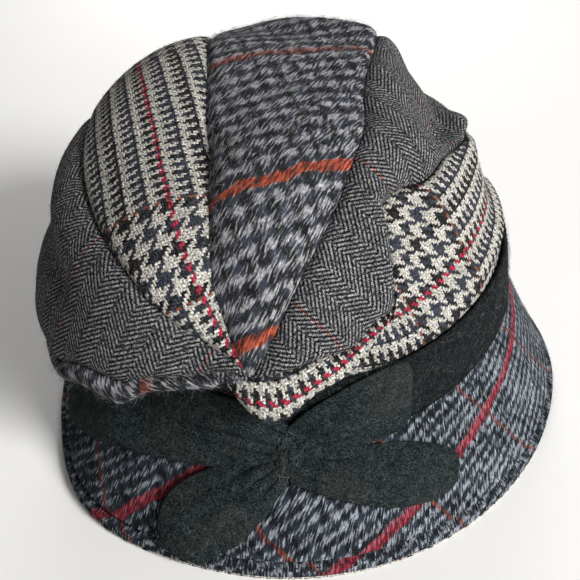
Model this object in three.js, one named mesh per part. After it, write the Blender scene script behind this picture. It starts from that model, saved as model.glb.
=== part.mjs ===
// A soft wool hat: a six-gore crown whose tip has flopped to the front, a brushed
// black band with a flat bow, and a sloping brim that stands on its rim.
// Millimetres, +Z up, with the origin under the middle of the base. The hat's front faces
// -Y. Azimuth 0 is the front and +90 is +X, about the head's axis.
import * as THREE from 'three';

// Driving dimensions
const GORE_CLOTH = 1.5;
const BAND_CLOTH = 2.0;
const BRIM_CLOTH = 3.0;
const SEWN_GAP = 0.7;
const LAID_GAP = 0.4;
const SEAM_DIP = 1.3;
const SEAM_DIP_WIDTH = 5.0;
const GORE_PUFF = 1.5;
const RIM_FLAT = 4.5;
const RIM_EDGE = 3.2;
const BRIM_SWELL = 2.5;
const BRIM_LEDGE = 3.2;
const RING_STEPS = 56;

// Turns rows of plain values into objects with the named columns.
function table(columns, rows) {
  return rows.map((row) => Object.fromEntries(columns.map((name, i) => [name, row[i]])));
}

const radians = THREE.MathUtils.degToRad;
const lerp = THREE.MathUtils.lerp;

// Crown sections from the brim seam (level 0) to the top (level 1). Each section is an
// oval with four reaches and four heights, and turn is the azimuth that its ahead faces.
const SIDES = ['Ahead', 'Right', 'Behind', 'Left'];
const CROWN_SECTIONS = table(
  ['name', 'level', 'turn', 'reachAhead', 'reachRight', 'reachBehind', 'reachLeft',
    'heightAhead', 'heightRight', 'heightBehind', 'heightLeft'],
  [
    ['seam', 0.00, 0, 98.5, 85.5, 98.5, 85.5, 38, 48, 56, 47],
    ['band top', 0.12, 0, 95, 82, 95, 82, 66, 75, 83, 75],
    ['tuck', 0.16, -25, 100, 82, 82, 89, 72, 79, 88, 81],
    ['lip', 0.25, -25, 121, 76, 74, 96, 69, 86, 94, 83],
    ['belly', 0.43, -25, 116, 69, 67, 96, 88, 103, 110, 99],
    ['shoulder', 0.61, -25, 103, 59, 59, 93, 109, 119, 128, 129],
    ['crest', 0.80, -25, 60, 42, 51, 59, 131, 134, 150, 149],
    ['top', 1.00, -25, 0, 0, 0, 0, 143, 143, 143, 143],
  ],
);

// Folds and dents: a line over the crown, how wide it is, and how far it pushes the
// cloth out from the axis and up.
const FOLDS = table(
  ['name', 'fromAzimuth', 'fromLevel', 'toAzimuth', 'toLevel', 'width', 'out', 'rise'],
  [
    ['tab under the tip', 11, 0.28, 21, 0.28, 14, 10, -10],
    ['pouch at the tip', 2, 0.40, 16, 0.34, 16, 8, 0],
    ['ridge over the right side', 35, 0.36, 37, 0.60, 9, 5, 1],
    ['hollow beside the ridge', 50, 0.40, 50, 0.58, 10, -4, 0],
    ['dent in the right shoulder', 100, 0.73, 138, 0.72, 15, -6, -16],
    ['lip at the lower left', -54, 0.26, -36, 0.26, 13, 3, -8],
    ['notch in the left side', -62, 0.45, -38, 0.45, 7, -4, 0],
    ['valley at the centre seam', -2, 0.50, -30, 0.80, 9, -2, -3],
    ['valley behind the top', -130, 0.80, 140, 0.84, 12, 0, -3],
  ],
);

// Where the gores meet, and the seams that run from there to the brim seam.
const TIP = { azimuth: 4.5, level: 0.36 };
const TIP_HOLE = 0.009;
const SEAM_ROWS = table(
  ['seam', 'azimuth', 'level'],
  [
    ['left', -9, 0.435], ['left', -21, 0.585], ['left', -51, 0.63], ['left', -88, 0.56], ['left', -100, 0],
    ['centre', -4.5, 0.51], ['centre', -10, 0.685], ['centre', -40, 0.84], ['centre', -114, 0.775],
    ['centre', -148, 0],
    ['top', 13.5, 0.52], ['top', 21, 0.67], ['top', 49, 0.845], ['top', 147, 0.87], ['top', 168, 0],
    ['lobe', 11, 0.342], ['lobe', 19.5, 0.34], ['lobe', 37.5, 0.318],
    ['inset', 39.5, 0.42], ['inset', 40.5, 0.635],
    ['side', 78, 0.705], ['side', 109, 0.63], ['side', 124, 0],
    ['front', 4.5, 0.30], ['front', 6, 0.20], ['front', 22, 0],
    ['under', -9, 0.345], ['under', -18, 0.34], ['under', -32, 0.29], ['under', -48, 0],
  ],
);
const LONG_ROWS = 12;
const LOBE_STEPS = 3;
const INSET_STEPS = 6;
const ACROSS = [0, 0.05, 0.18, 0.39, 0.61, 0.82, 0.95, 1];

// Brim: how far its rim reaches on each side, and the steps down its slope.
const BRIM = { rimAhead: 132, rimRight: 116, rimBehind: 109, rimLeft: 116 };
const BRIM_STEPS = [0, 0.2, 0.4, 0.6, 0.8, 0.94, 1];

// The head's axis stands behind the middle of the base, because the brim is deeper ahead.
const AXIS_BACK = (BRIM.rimAhead - BRIM.rimBehind) / 2;

// Bow: a knot and four leaves laid over the band and the brim. Along runs round the
// band from the knot, up runs up the band and, below zero, down the brim.
const BOW = { azimuth: 10.5, radius: 102, cloth: 2.0, blend: 7 };
const KNOT = { along: 0, up: -2, halfWidth: 6.5, halfHeight: 11, thickness: 6 };
const LEAF_SECTIONS = table(
  ['leaf', 'along', 'up', 'halfWidth', 'puff'],
  [
    ['bow_left_loop', -7.2, 5, 5, 3],
    ['bow_left_loop', -26, 5.5, 13, 5],
    ['bow_left_loop', -49, -2, 15, 4],
    ['bow_left_loop', -68, -11, 13, 3],
    ['bow_left_loop', -92, -25, 7, 1],
    ['bow_left_tail', -3.8, -11.5, 4.5, 2],
    ['bow_left_tail', -15, -20.5, 8.5, 2],
    ['bow_left_tail', -25, -31, 11.5, 1.5],
    ['bow_left_tail', -28, -41, 7, 1],
    ['bow_right_loop', 7.2, 4, 5, 3],
    ['bow_right_loop', 21, 10, 10, 5],
    ['bow_right_loop', 36, 12.5, 11.5, 4],
    ['bow_right_loop', 47, 13, 9, 2],
    ['bow_right_tail', 5.2, -9, 4, 2],
    ['bow_right_tail', 22, -14, 7.5, 3],
    ['bow_right_tail', 38, -18, 10, 2],
    ['bow_right_tail', 59, -22, 7.5, 1],
  ],
);
const LEAF_STEPS = 10;
const LEAF_ACROSS = 6;
const KNOT_STEPS = 14;

// Shapes of the oval sections
function sideShares(azimuth) {
  const c = Math.cos(azimuth);
  const s = Math.sin(azimuth);
  return [c, s, -c, -s].map((value) => Math.max(0, value) ** 2);
}

function ovalReach(section, azimuth, prefix) {
  const reaches = SIDES.map((side) => section[prefix + side]);
  if (reaches.every((reach) => reach === 0)) return 0;
  const shares = sideShares(azimuth);
  return 1 / Math.sqrt(shares.reduce((sum, share, i) => sum + share / reaches[i] ** 2, 0));
}

function ovalHeight(section, azimuth) {
  const shares = sideShares(azimuth);
  return shares.reduce((sum, share, i) => sum + share * section[`height${SIDES[i]}`], 0);
}

function sectionAt(section, azimuth) {
  const own = azimuth - radians(section.turn);
  return { level: section.level, reach: ovalReach(section, own, 'reach'), height: ovalHeight(section, own) };
}

function polar(reach, azimuth, height) {
  return new THREE.Vector3(reach * Math.sin(azimuth), -reach * Math.cos(azimuth), height);
}

// Straight behind the band, then a smooth curve through the sections of one azimuth,
// carried over the top to the far side.
function plainCrown(azimuth, level) {
  const stops = CROWN_SECTIONS.map((section) => sectionAt(section, azimuth));
  const last = stops.length - 1;
  const beyond = sectionAt(CROWN_SECTIONS[last - 1], azimuth + Math.PI);
  stops.push({ level: 2 - beyond.level, reach: -beyond.reach, height: beyond.height });
  let k = 0;
  while (k < last - 1 && level >= stops[k + 1].level) k += 1;
  const slope = (i, key) => {
    const rate = (j) => (stops[j + 1][key] - stops[j][key]) / (stops[j + 1].level - stops[j].level);
    if (i === 0) return rate(0);
    const before = stops[i].level - stops[i - 1].level;
    const after = stops[i + 1].level - stops[i].level;
    return (rate(i - 1) * after + rate(i) * before) / (before + after);
  };
  const span = stops[k + 1].level - stops[k].level;
  const u = (level - stops[k].level) / span;
  if (k === 0) {
    const height = lerp(stops[0].height, stops[1].height, u);
    return polar(lerp(stops[0].reach, stops[1].reach, u), azimuth, height);
  }
  const value = (key) => (2 * u ** 3 - 3 * u ** 2 + 1) * stops[k][key]
    + (u ** 3 - 2 * u ** 2 + u) * span * slope(k, key)
    + (3 * u ** 2 - 2 * u ** 3) * stops[k + 1][key]
    + (u ** 3 - u ** 2) * span * slope(k + 1, key);
  return polar(value('reach'), azimuth, value('height'));
}

const foldLines = FOLDS.map((fold) => ({
  ...fold,
  line: new THREE.Line3(
    plainCrown(radians(fold.fromAzimuth), fold.fromLevel),
    plainCrown(radians(fold.toAzimuth), fold.toLevel),
  ),
}));
const AXIS_SOFTENING = 20;

// Up to the plain level, behind the band, the cloth has no folds.
const PLAIN_LEVEL = 0.13;
const FREE_LEVEL = 0.21;

function crown(azimuth, level) {
  const plain = plainCrown(azimuth, level);
  const outward = new THREE.Vector3(plain.x, plain.y, 0);
  outward.divideScalar(outward.length() + AXIS_SOFTENING);
  const free = THREE.MathUtils.smoothstep(level, PLAIN_LEVEL, FREE_LEVEL);
  const moved = plain.clone();
  const nearest = new THREE.Vector3();
  for (const fold of foldLines) {
    fold.line.closestPointToPoint(plain, true, nearest);
    const share = free * Math.exp(-nearest.distanceToSquared(plain) / fold.width ** 2);
    moved.addScaledVector(outward, fold.out * share);
    moved.z += fold.rise * share;
  }
  return moved;
}

// The crown is drawn on a flat disc: the top at its centre, the brim seam at its rim.
function onDisc(azimuth, level) {
  const a = radians(azimuth);
  return new THREE.Vector2((1 - level) * Math.sin(a), (level - 1) * Math.cos(a));
}

function fromDisc(point) {
  return crown(Math.atan2(point.x, -point.y), Math.max(0, 1 - point.length()));
}

function curveOnDisc(points) {
  return new THREE.CatmullRomCurve3(points.map((p) => new THREE.Vector3(p.x, p.y, 0)), false, 'centripetal');
}

function sampleCurve(curve, fractions) {
  return fractions.map((f) => {
    const p = curve.getPointAt(f);
    return new THREE.Vector2(p.x, p.y);
  });
}

const tip = onDisc(TIP.azimuth, TIP.level);
const seamPoints = (name) => SEAM_ROWS.filter((row) => row.seam === name)
  .map((row) => onDisc(row.azimuth, row.level));
const evenly = (count) => Array.from({ length: count + 1 }, (_, i) => i / count);

// Rows of a seam: close together near the tip, where the corner of the right side lies,
// crowding down to the band, and three rows behind it.
const NEAR_TIP = 0.19;
const SHORT_START = 0.06;
const BASE_LEVELS = [0.118, 0.06, 0];
const CROWDING = 1.5;
const HALVINGS = 24;

function fractionAtLevel(curve, level) {
  let low = 0.4;
  let high = 1;
  for (let i = 0; i < HALVINGS; i += 1) {
    const middle = (low + high) / 2;
    if (curve.getPointAt(middle).length() < 1 - level) low = middle;
    else high = middle;
  }
  return high;
}

function rowsToBase(curve, start) {
  const [band, ...behind] = BASE_LEVELS.map((level) => fractionAtLevel(curve, level));
  return [...evenly(LONG_ROWS).map((f) => lerp(start, band, 1 - (1 - f) ** CROWDING)), ...behind];
}

function longSeam(name, nearTip) {
  const curve = curveOnDisc([tip, ...seamPoints(name)]);
  const start = TIP_HOLE / curve.getLength();
  const close = evenly(tipEdge.length).slice(0, -1).map((f) => lerp(start, nearTip, f));
  return sampleCurve(curve, [...close, ...rowsToBase(curve, nearTip)]);
}

const lobePoints = seamPoints('lobe');
const lobeEnd = lobePoints[lobePoints.length - 1];
const insetPoints = seamPoints('inset');
const corner = insetPoints[insetPoints.length - 1];
const lobeCurve = curveOnDisc([tip, ...lobePoints]);
const lobeStart = TIP_HOLE / lobeCurve.getLength();
const lobeRows = sampleCurve(lobeCurve, evenly(LOBE_STEPS).map((f) => lerp(lobeStart, 1, f)));
const insetRows = sampleCurve(curveOnDisc([lobeEnd, ...insetPoints]), evenly(INSET_STEPS));
const sideCurve = curveOnDisc([corner, ...seamPoints('side')]);
const sideRows = sampleCurve(sideCurve, [0, ...rowsToBase(sideCurve, SHORT_START)]);
const tipEdge = [...lobeRows, ...insetRows.slice(1)];
const seams = {
  left: longSeam('left', NEAR_TIP),
  centre: longSeam('centre', NEAR_TIP),
  top: longSeam('top', NEAR_TIP),
  under: longSeam('under', NEAR_TIP),
  right: [...tipEdge, ...sideRows.slice(1)],
  front: longSeam('front', SHORT_START),
};
const frontShort = [seams.front[0], ...seams.front.slice(1 - sideRows.length)];

// Arc about the disc's centre between two points at one level, the short way round.
function arcBetween(from, to, shares) {
  const start = Math.atan2(from.x, -from.y);
  const turn = Math.atan2(to.x, -to.y) - start;
  const sweep = turn - 2 * Math.PI * Math.round(turn / (2 * Math.PI));
  return shares.map((w) => from.clone().rotateAround(new THREE.Vector2(), sweep * w));
}

// Fills a four-sided patch of the disc from its edges. Down to the band the bend of the
// start edge fades into the arc at the band's top; behind the band the rows are arcs.
function fillPatch(first, second, start, shares) {
  const band = first.length - BASE_LEVELS.length;
  const bandArc = arcBetween(first[band], second[band], shares);
  const bend = (edge, j) => edge[j].clone().sub(edge[0].clone().lerp(edge[edge.length - 1], shares[j]));
  return first.map((a, i) => {
    if (i >= band) return arcBetween(a, second[i], shares);
    return shares.map((w, j) => a.clone().lerp(second[i], w)
      .addScaledVector(bend(start, j), 1 - i / band)
      .addScaledVector(bend(bandArc, j), i / band));
  });
}

function straight(from, to, shares) {
  return shares.map((w) => from.clone().lerp(to, w));
}

// Outward normal of the crown at a point of the disc.
const DISC_STEP = 0.022;

function crownNormal(point) {
  const shifted = (x, y) => fromDisc(new THREE.Vector2(point.x + x, point.y + y));
  const sideways = shifted(DISC_STEP, 0).sub(shifted(-DISC_STEP, 0));
  const backwards = shifted(0, DISC_STEP).sub(shifted(0, -DISC_STEP));
  return sideways.cross(backwards).normalize();
}

// A closed solid between two grids of points that face each other.
function solidBetween(lower, upper) {
  const rows = lower.length;
  const columns = lower[0].length;
  const positions = [...lower.flat(), ...upper.flat()].flatMap((p) => [p.x, p.y, p.z]);
  const at = (side, i, j) => side * rows * columns + i * columns + j;
  const index = [];
  const quad = (a, b, c, d) => index.push(a, b, c, a, c, d);
  for (let i = 0; i < rows - 1; i += 1) {
    for (let j = 0; j < columns - 1; j += 1) {
      quad(at(0, i, j), at(0, i, j + 1), at(0, i + 1, j + 1), at(0, i + 1, j));
      quad(at(1, i, j), at(1, i + 1, j), at(1, i + 1, j + 1), at(1, i, j + 1));
    }
  }
  const edge = (i, j, k, l) => quad(at(0, i, j), at(1, i, j), at(1, k, l), at(0, k, l));
  for (let j = 0; j < columns - 1; j += 1) {
    edge(0, j, 0, j + 1);
    edge(rows - 1, j + 1, rows - 1, j);
  }
  for (let i = 0; i < rows - 1; i += 1) {
    quad(at(1, i + 1, 0), at(1, i, 0), at(0, i, 0), at(0, i + 1, 0));
    edge(i, columns - 1, i + 1, columns - 1);
  }
  return closedGeometry(positions, index);
}

function closedGeometry(positions, index) {
  const geometry = new THREE.BufferGeometry();
  geometry.setAttribute('position', new THREE.Float32BufferAttribute(positions, 3));
  geometry.setIndex(index);
  geometry.computeVertexNormals();
  return geometry;
}

// One gore: the cloth between its seams, dipped at each seam and puffed between them.
function goreGeometry(patch, startsAtSeam) {
  const surface = patch.map((row) => row.map(fromDisc));
  const normals = patch.map((row) => row.map(crownNormal));
  const rows = surface.length - 1;
  const columns = surface[0].length - 1;
  const outer = surface.map((row, i) => row.map((point, j) => {
    const edges = startsAtSeam ? [row[0], row[columns], surface[0][j]] : [row[0], row[columns]];
    const toSeam = Math.min(...edges.map((edge) => edge.distanceTo(point)));
    const dip = SEAM_DIP * Math.exp(-((toSeam / SEAM_DIP_WIDTH) ** 2));
    const puff = GORE_PUFF * (1 - Math.exp(-((toSeam / (4 * SEAM_DIP_WIDTH)) ** 2)));
    const free = THREE.MathUtils.smoothstep(1 - patch[i][j].length(), PLAIN_LEVEL, FREE_LEVEL);
    const moved = point.clone().addScaledVector(normals[i][j], (puff - dip) * free);
    if (j === 0 || j === columns) {
      const before = surface[Math.max(0, i - 1)][j];
      const along = surface[Math.min(rows, i + 1)][j].clone().sub(before);
      const inward = along.cross(normals[i][j]).normalize();
      moved.addScaledVector(inward, (j === 0 ? -1 : 1) * SEWN_GAP / 2);
    }
    if (startsAtSeam && i === 0) {
      const across = row[Math.min(columns, j + 1)].clone().sub(row[Math.max(0, j - 1)]);
      moved.addScaledVector(across.cross(normals[i][j]).normalize(), SEWN_GAP / 2);
    }
    return moved;
  }));
  const sink = (point, normal) => point.clone().addScaledVector(normal, -GORE_CLOTH);
  const inner = outer.map((row, i) => row.map((point, j) => sink(point, normals[i][j])));
  return solidBetween(inner, outer);
}

function plainGore(first, second) {
  const start = straight(first[0], second[0], ACROSS);
  return goreGeometry(fillPatch(first, second, start, ACROSS), false);
}

// The right side gore starts along the whole folded edge under the tip.
function cornerGore() {
  const start = [frontShort[0], ...tipEdge.slice(1)];
  const shares = evenly(start.length - 1).map((w) => w ** CROWDING);
  return goreGeometry(fillPatch(frontShort, sideRows, start, shares), true);
}

// Rings with the same cross-section points at every azimuth.
function ringGeometry(crossSection) {
  const positions = [];
  const index = [];
  let count = 0;
  for (let i = 0; i < RING_STEPS; i += 1) {
    const points = crossSection(2 * Math.PI * i / RING_STEPS);
    count = points.length;
    points.forEach((p) => positions.push(p.x, p.y, p.z));
  }
  for (let i = 0; i < RING_STEPS; i += 1) {
    const next = (i + 1) % RING_STEPS;
    for (let j = 0; j < count; j += 1) {
      const k = (j + 1) % count;
      index.push(i * count + j, next * count + k, i * count + k);
      index.push(i * count + j, next * count + j, next * count + k);
    }
  }
  return closedGeometry(positions, index);
}

const SEAM_SECTION = CROWN_SECTIONS[0];
const BAND_LEVELS = [0.004, 0.04, 0.08, 0.114];

function pushOut(point, distance) {
  const flat = new THREE.Vector3(point.x, point.y, 0).normalize();
  return point.clone().addScaledVector(flat, distance);
}

function bandFace(azimuth, level, distance) {
  return pushOut(plainCrown(azimuth, level), distance);
}

function bandSection(azimuth) {
  const inner = BAND_LEVELS.map((level) => bandFace(azimuth, level, LAID_GAP));
  const outer = BAND_LEVELS.map((level) => bandFace(azimuth, level, LAID_GAP + BAND_CLOTH));
  return [...outer, ...inner.reverse()];
}

// Top face of the brim: a ledge under the crown and the band, then the slope to the rim.
function brimTop(azimuth, share) {
  const seam = sectionAt(SEAM_SECTION, azimuth);
  const start = seam.reach + BRIM_LEDGE;
  const rim = ovalReach(BRIM, azimuth, 'rim');
  const drop = seam.height - LAID_GAP;
  const swell = BRIM_SWELL * Math.sin(Math.PI * share) * Math.cos(azimuth);
  return polar(lerp(start, rim, share) + swell, azimuth, lerp(drop, RIM_EDGE, share) + swell / 2);
}

function brimSection(azimuth) {
  const seam = sectionAt(SEAM_SECTION, azimuth);
  const rim = ovalReach(BRIM, azimuth, 'rim');
  const ledge = polar(seam.reach - GORE_CLOTH, azimuth, seam.height - LAID_GAP);
  const top = BRIM_STEPS.map((share) => brimTop(azimuth, share));
  const below = BRIM_STEPS.slice(0, -2).map((share) => {
    const point = pushOut(brimTop(azimuth, share), -BRIM_CLOTH);
    point.z -= BRIM_CLOTH / 2;
    return point;
  });
  const rimBottom = [polar(rim, azimuth, 0), polar(rim - RIM_FLAT, azimuth, 0)];
  return [ledge, ...top, ...rimBottom, ...below.reverse()].reverse();
}

// The face that the bow lies on: up the band, or down the brim below zero.
function bowGround(azimuth, up) {
  const foot = bandFace(azimuth, BAND_LEVELS[0], LAID_GAP + BAND_CLOTH);
  const head = bandFace(azimuth, BAND_LEVELS[3], LAID_GAP + BAND_CLOTH);
  if (up >= 0) return foot.clone().lerp(head, up / foot.distanceTo(head));
  const rim = brimTop(azimuth, 1);
  return brimTop(azimuth, -up / brimTop(azimuth, 0).distanceTo(rim));
}

function bowFace(along, up) {
  const azimuth = radians(BOW.azimuth) + along / BOW.radius;
  const sum = new THREE.Vector3();
  const offsets = [-1, -0.5, 0, 0.5, 1];
  offsets.forEach((offset) => sum.add(bowGround(azimuth, up + offset * BOW.blend)));
  return sum.divideScalar(offsets.length);
}

function bowNormal(along, up) {
  const step = 0.5;
  const across = bowFace(along + step, up).sub(bowFace(along - step, up));
  const rising = bowFace(along, up + step).sub(bowFace(along, up - step));
  return across.cross(rising).normalize();
}

function liftFromBow(along, up, height) {
  return bowFace(along, up).addScaledVector(bowNormal(along, up), height);
}

// A leaf of the bow: doubled cloth, puffed along its middle and rounded at its end.
function leafGeometry(name) {
  const rows = LEAF_SECTIONS.filter((row) => row.leaf === name);
  const axis = new THREE.CatmullRomCurve3(rows.map((row) => new THREE.Vector3(row.along, row.up, 0)));
  const size = new THREE.CatmullRomCurve3(rows.map((row) => new THREE.Vector3(row.halfWidth, row.puff, 0)));
  const grids = { top: [], bottom: [] };
  for (const f of evenly(LEAF_STEPS)) {
    const middle = axis.getPoint(f);
    const heading = axis.getTangent(f);
    const { x: halfWidth, y: puff } = size.getPoint(f);
    const line = { top: [], bottom: [] };
    for (const w of evenly(LEAF_ACROSS)) {
      const aside = (2 * w - 1) * halfWidth;
      const along = middle.x - heading.y * aside;
      const up = middle.y + heading.x * aside;
      const crowned = puff * (1 - (2 * w - 1) ** 2);
      line.top.push(liftFromBow(along, up, LAID_GAP + BOW.cloth + crowned));
      line.bottom.push(liftFromBow(along, up, LAID_GAP));
    }
    grids.top.push(line.top);
    grids.bottom.push(line.bottom);
  }
  return solidBetween(grids.bottom, grids.top);
}

// The knot: a pinched pad over the place where the leaves meet.
function knotGeometry() {
  const rings = [1, 0.7, 0.35];
  const point = (scale, turn, height) => liftFromBow(
    KNOT.along + KNOT.halfWidth * scale * Math.cos(turn),
    KNOT.up + KNOT.halfHeight * scale * Math.sin(turn),
    height,
  );
  const ring = (scale, height) => evenly(KNOT_STEPS).slice(0, -1)
    .map((f) => point(scale, 2 * Math.PI * f, height));
  const layers = [
    ring(0.5, LAID_GAP),
    ring(1, LAID_GAP),
    ...rings.map((scale) => ring(scale, LAID_GAP + BOW.cloth + KNOT.thickness * (1 - scale ** 2))),
  ];
  const positions = layers.flat().flatMap((p) => [p.x, p.y, p.z]);
  const index = [];
  for (let k = 0; k < layers.length - 1; k += 1) {
    for (let i = 0; i < KNOT_STEPS; i += 1) {
      const n = (i + 1) % KNOT_STEPS;
      const low = k * KNOT_STEPS;
      const high = low + KNOT_STEPS;
      index.push(low + i, low + n, high + n, low + i, high + n, high + i);
    }
  }
  const caps = [point(0, 0, LAID_GAP), point(0, 0, LAID_GAP + BOW.cloth + KNOT.thickness)];
  caps.forEach((p) => positions.push(p.x, p.y, p.z));
  const bottom = layers.length * KNOT_STEPS;
  const top = bottom + 1;
  const high = (layers.length - 1) * KNOT_STEPS;
  for (let i = 0; i < KNOT_STEPS; i += 1) {
    const n = (i + 1) % KNOT_STEPS;
    index.push(bottom, n, i, top, high + i, high + n);
  }
  return closedGeometry(positions, index);
}

// Cloths
const cloth = (color) => new THREE.MeshStandardMaterial({ color, roughness: 0.95, metalness: 0 });
const glenCheck = cloth(0x8f8c86);
const herringbone = cloth(0x5d5e60);
const brushedPlaid = cloth(0x4c525c);
const blackWool = cloth(0x14181a);
const brimPlaid = cloth(0x2b313a);

const hat = new THREE.Group();
hat.name = 'wool_hat';

function addPiece(name, geometry, material) {
  geometry.translate(0, AXIS_BACK, 0);
  const piece = new THREE.Mesh(geometry, material);
  piece.name = name;
  hat.add(piece);
}

addPiece('gore_herringbone_left', plainGore(seams.left, seams.under), herringbone);
addPiece('gore_glen_left', plainGore(seams.centre, seams.left), glenCheck);
addPiece('gore_plaid_centre', plainGore(seams.top, seams.centre), brushedPlaid);
addPiece('gore_herringbone_right', plainGore(seams.right, seams.top), herringbone);
addPiece('gore_glen_right', cornerGore(), glenCheck);
addPiece('gore_plaid_front', plainGore(seams.under, seams.front), brushedPlaid);
addPiece('headband', ringGeometry(bandSection), blackWool);
addPiece('brim', ringGeometry(brimSection), brimPlaid);
const leafNames = [...new Set(LEAF_SECTIONS.map((row) => row.leaf))];
leafNames.forEach((name) => addPiece(name, leafGeometry(name), blackWool));
addPiece('bow_knot', knotGeometry(), blackWool);

export default hat;
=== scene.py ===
# %% [markdown]
# This lesson dresses a soft patchwork hat in wool. The imported model gives its size and
# place, and every piece here is made in metres in that same frame. Nothing on the hat
# moves, so all the pieces ride on one body. The load comes first.

# %% Load the imported model
import bpy
import bmesh
import math
import numpy as np
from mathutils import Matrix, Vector, noise


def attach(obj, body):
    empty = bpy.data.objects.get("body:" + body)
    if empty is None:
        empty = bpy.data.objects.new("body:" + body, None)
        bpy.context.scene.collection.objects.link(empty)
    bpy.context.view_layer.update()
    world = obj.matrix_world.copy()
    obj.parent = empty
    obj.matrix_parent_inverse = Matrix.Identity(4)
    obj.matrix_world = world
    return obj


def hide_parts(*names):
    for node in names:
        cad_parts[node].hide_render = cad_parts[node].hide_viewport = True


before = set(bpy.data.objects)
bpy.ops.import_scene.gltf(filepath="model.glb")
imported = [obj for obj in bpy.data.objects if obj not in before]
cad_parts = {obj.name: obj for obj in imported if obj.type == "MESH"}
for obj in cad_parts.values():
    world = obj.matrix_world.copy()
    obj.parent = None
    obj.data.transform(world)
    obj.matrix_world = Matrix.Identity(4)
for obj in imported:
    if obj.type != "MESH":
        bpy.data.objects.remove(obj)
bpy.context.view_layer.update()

# %% [markdown]
# The camera looks down on the front of the hat from a little to its right. A camera is
# placed here by the way it faces: the target is on the head's axis, and the camera backs
# away from it. The small shift moves the picture without turning the camera, so upright
# lines keep their lean.

# %% Camera
MM = 0.001
AXIS_BACK = 11.5
CAMERA_AZIMUTH = math.radians(15.6)
CAMERA_ELEVATION = math.radians(36.8)
CAMERA_DISTANCE = 0.382
CAMERA_TARGET = Vector((0.0, AXIS_BACK * MM, 0.030))
CAMERA_LENS = 49.66
CAMERA_SENSOR = 36.0
CAMERA_SHIFT = (-0.0384, 0.0193)
NEAREST = 0.01

looking = Vector((
    -math.sin(CAMERA_AZIMUTH) * math.cos(CAMERA_ELEVATION),
    math.cos(CAMERA_AZIMUTH) * math.cos(CAMERA_ELEVATION),
    -math.sin(CAMERA_ELEVATION),
))
camera_data = bpy.data.cameras.new("camera")
camera_data.lens = CAMERA_LENS
camera_data.sensor_width = CAMERA_SENSOR
camera_data.shift_x, camera_data.shift_y = CAMERA_SHIFT
camera_data.clip_start = NEAREST
camera = bpy.data.objects.new("camera", camera_data)
camera.location = CAMERA_TARGET - looking * CAMERA_DISTANCE
camera.rotation_euler = looking.to_track_quat("-Z", "Y").to_euler()
bpy.context.collection.objects.link(camera)
bpy.context.scene.camera = camera
print("camera at", tuple(round(x, 3) for x in camera.location))

# %% [markdown]
# Wool shows its weave best in wide, soft light from one side. A large lamp stands to the
# right like a window, a weak one fills the front, a third lights the floor behind, and a
# pale sky does the rest. A picture of a room could light it too, but lamps are easier to
# steer. The standard view keeps the colours of the yarns as they are set.

# %% Light
LAMPS = [
    # name, place, aim, width in metres, power in watts
    ("window_lamp", (1.70, -0.70, 1.15), (0, 0, 0.05), 0.8, 70.0),
    ("front_lamp", (0.70, -1.05, 0.60), (0, 0, 0.05), 0.5, 2.5),
    ("back_lamp", (-0.35, 1.0, 0.7), (-0.20, 0.60, 0), 0.6, 2.8),
]
BACK_SPREAD = math.radians(110)
SKY_COLOUR = (1.0, 0.985, 0.96, 1.0)
SKY_STRENGTH = 0.15


def soft_lamp(name, place, aim, width, power):
    data = bpy.data.lights.new(name, "AREA")
    data.shape = "DISK"
    data.size = width
    data.energy = power
    lamp = bpy.data.objects.new(name, data)
    lamp.location = place
    lamp.rotation_euler = (Vector(aim) - Vector(place)).to_track_quat("-Z", "Y").to_euler()
    bpy.context.collection.objects.link(lamp)
    return lamp


lamps = {row[0]: soft_lamp(*row) for row in LAMPS}
lamps["back_lamp"].data.spread = BACK_SPREAD
world = bpy.data.worlds.new("pale_room")
world.use_nodes = True
sky = world.node_tree.nodes["Background"]
sky.inputs["Color"].default_value = SKY_COLOUR
sky.inputs["Strength"].default_value = SKY_STRENGTH
bpy.context.scene.world = world
bpy.context.scene.view_settings.view_transform = "Standard"
print("lamps", list(lamps))

# %% [markdown]
# The crown was cut as six gores, but its tip has flopped to the front, so its shape is
# drawn as a soft, leaning heap. Oval sections run from the brim seam, level 0, to the top,
# level 1. Each has a reach and a height on four sides, in millimetres, and a turn. Folds
# push the cloth out or in, up or down, along short lines. A sculpt or a cloth simulation
# could make such a heap too, but tables are easier to tune until each fold lies where it
# should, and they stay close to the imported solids.

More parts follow.
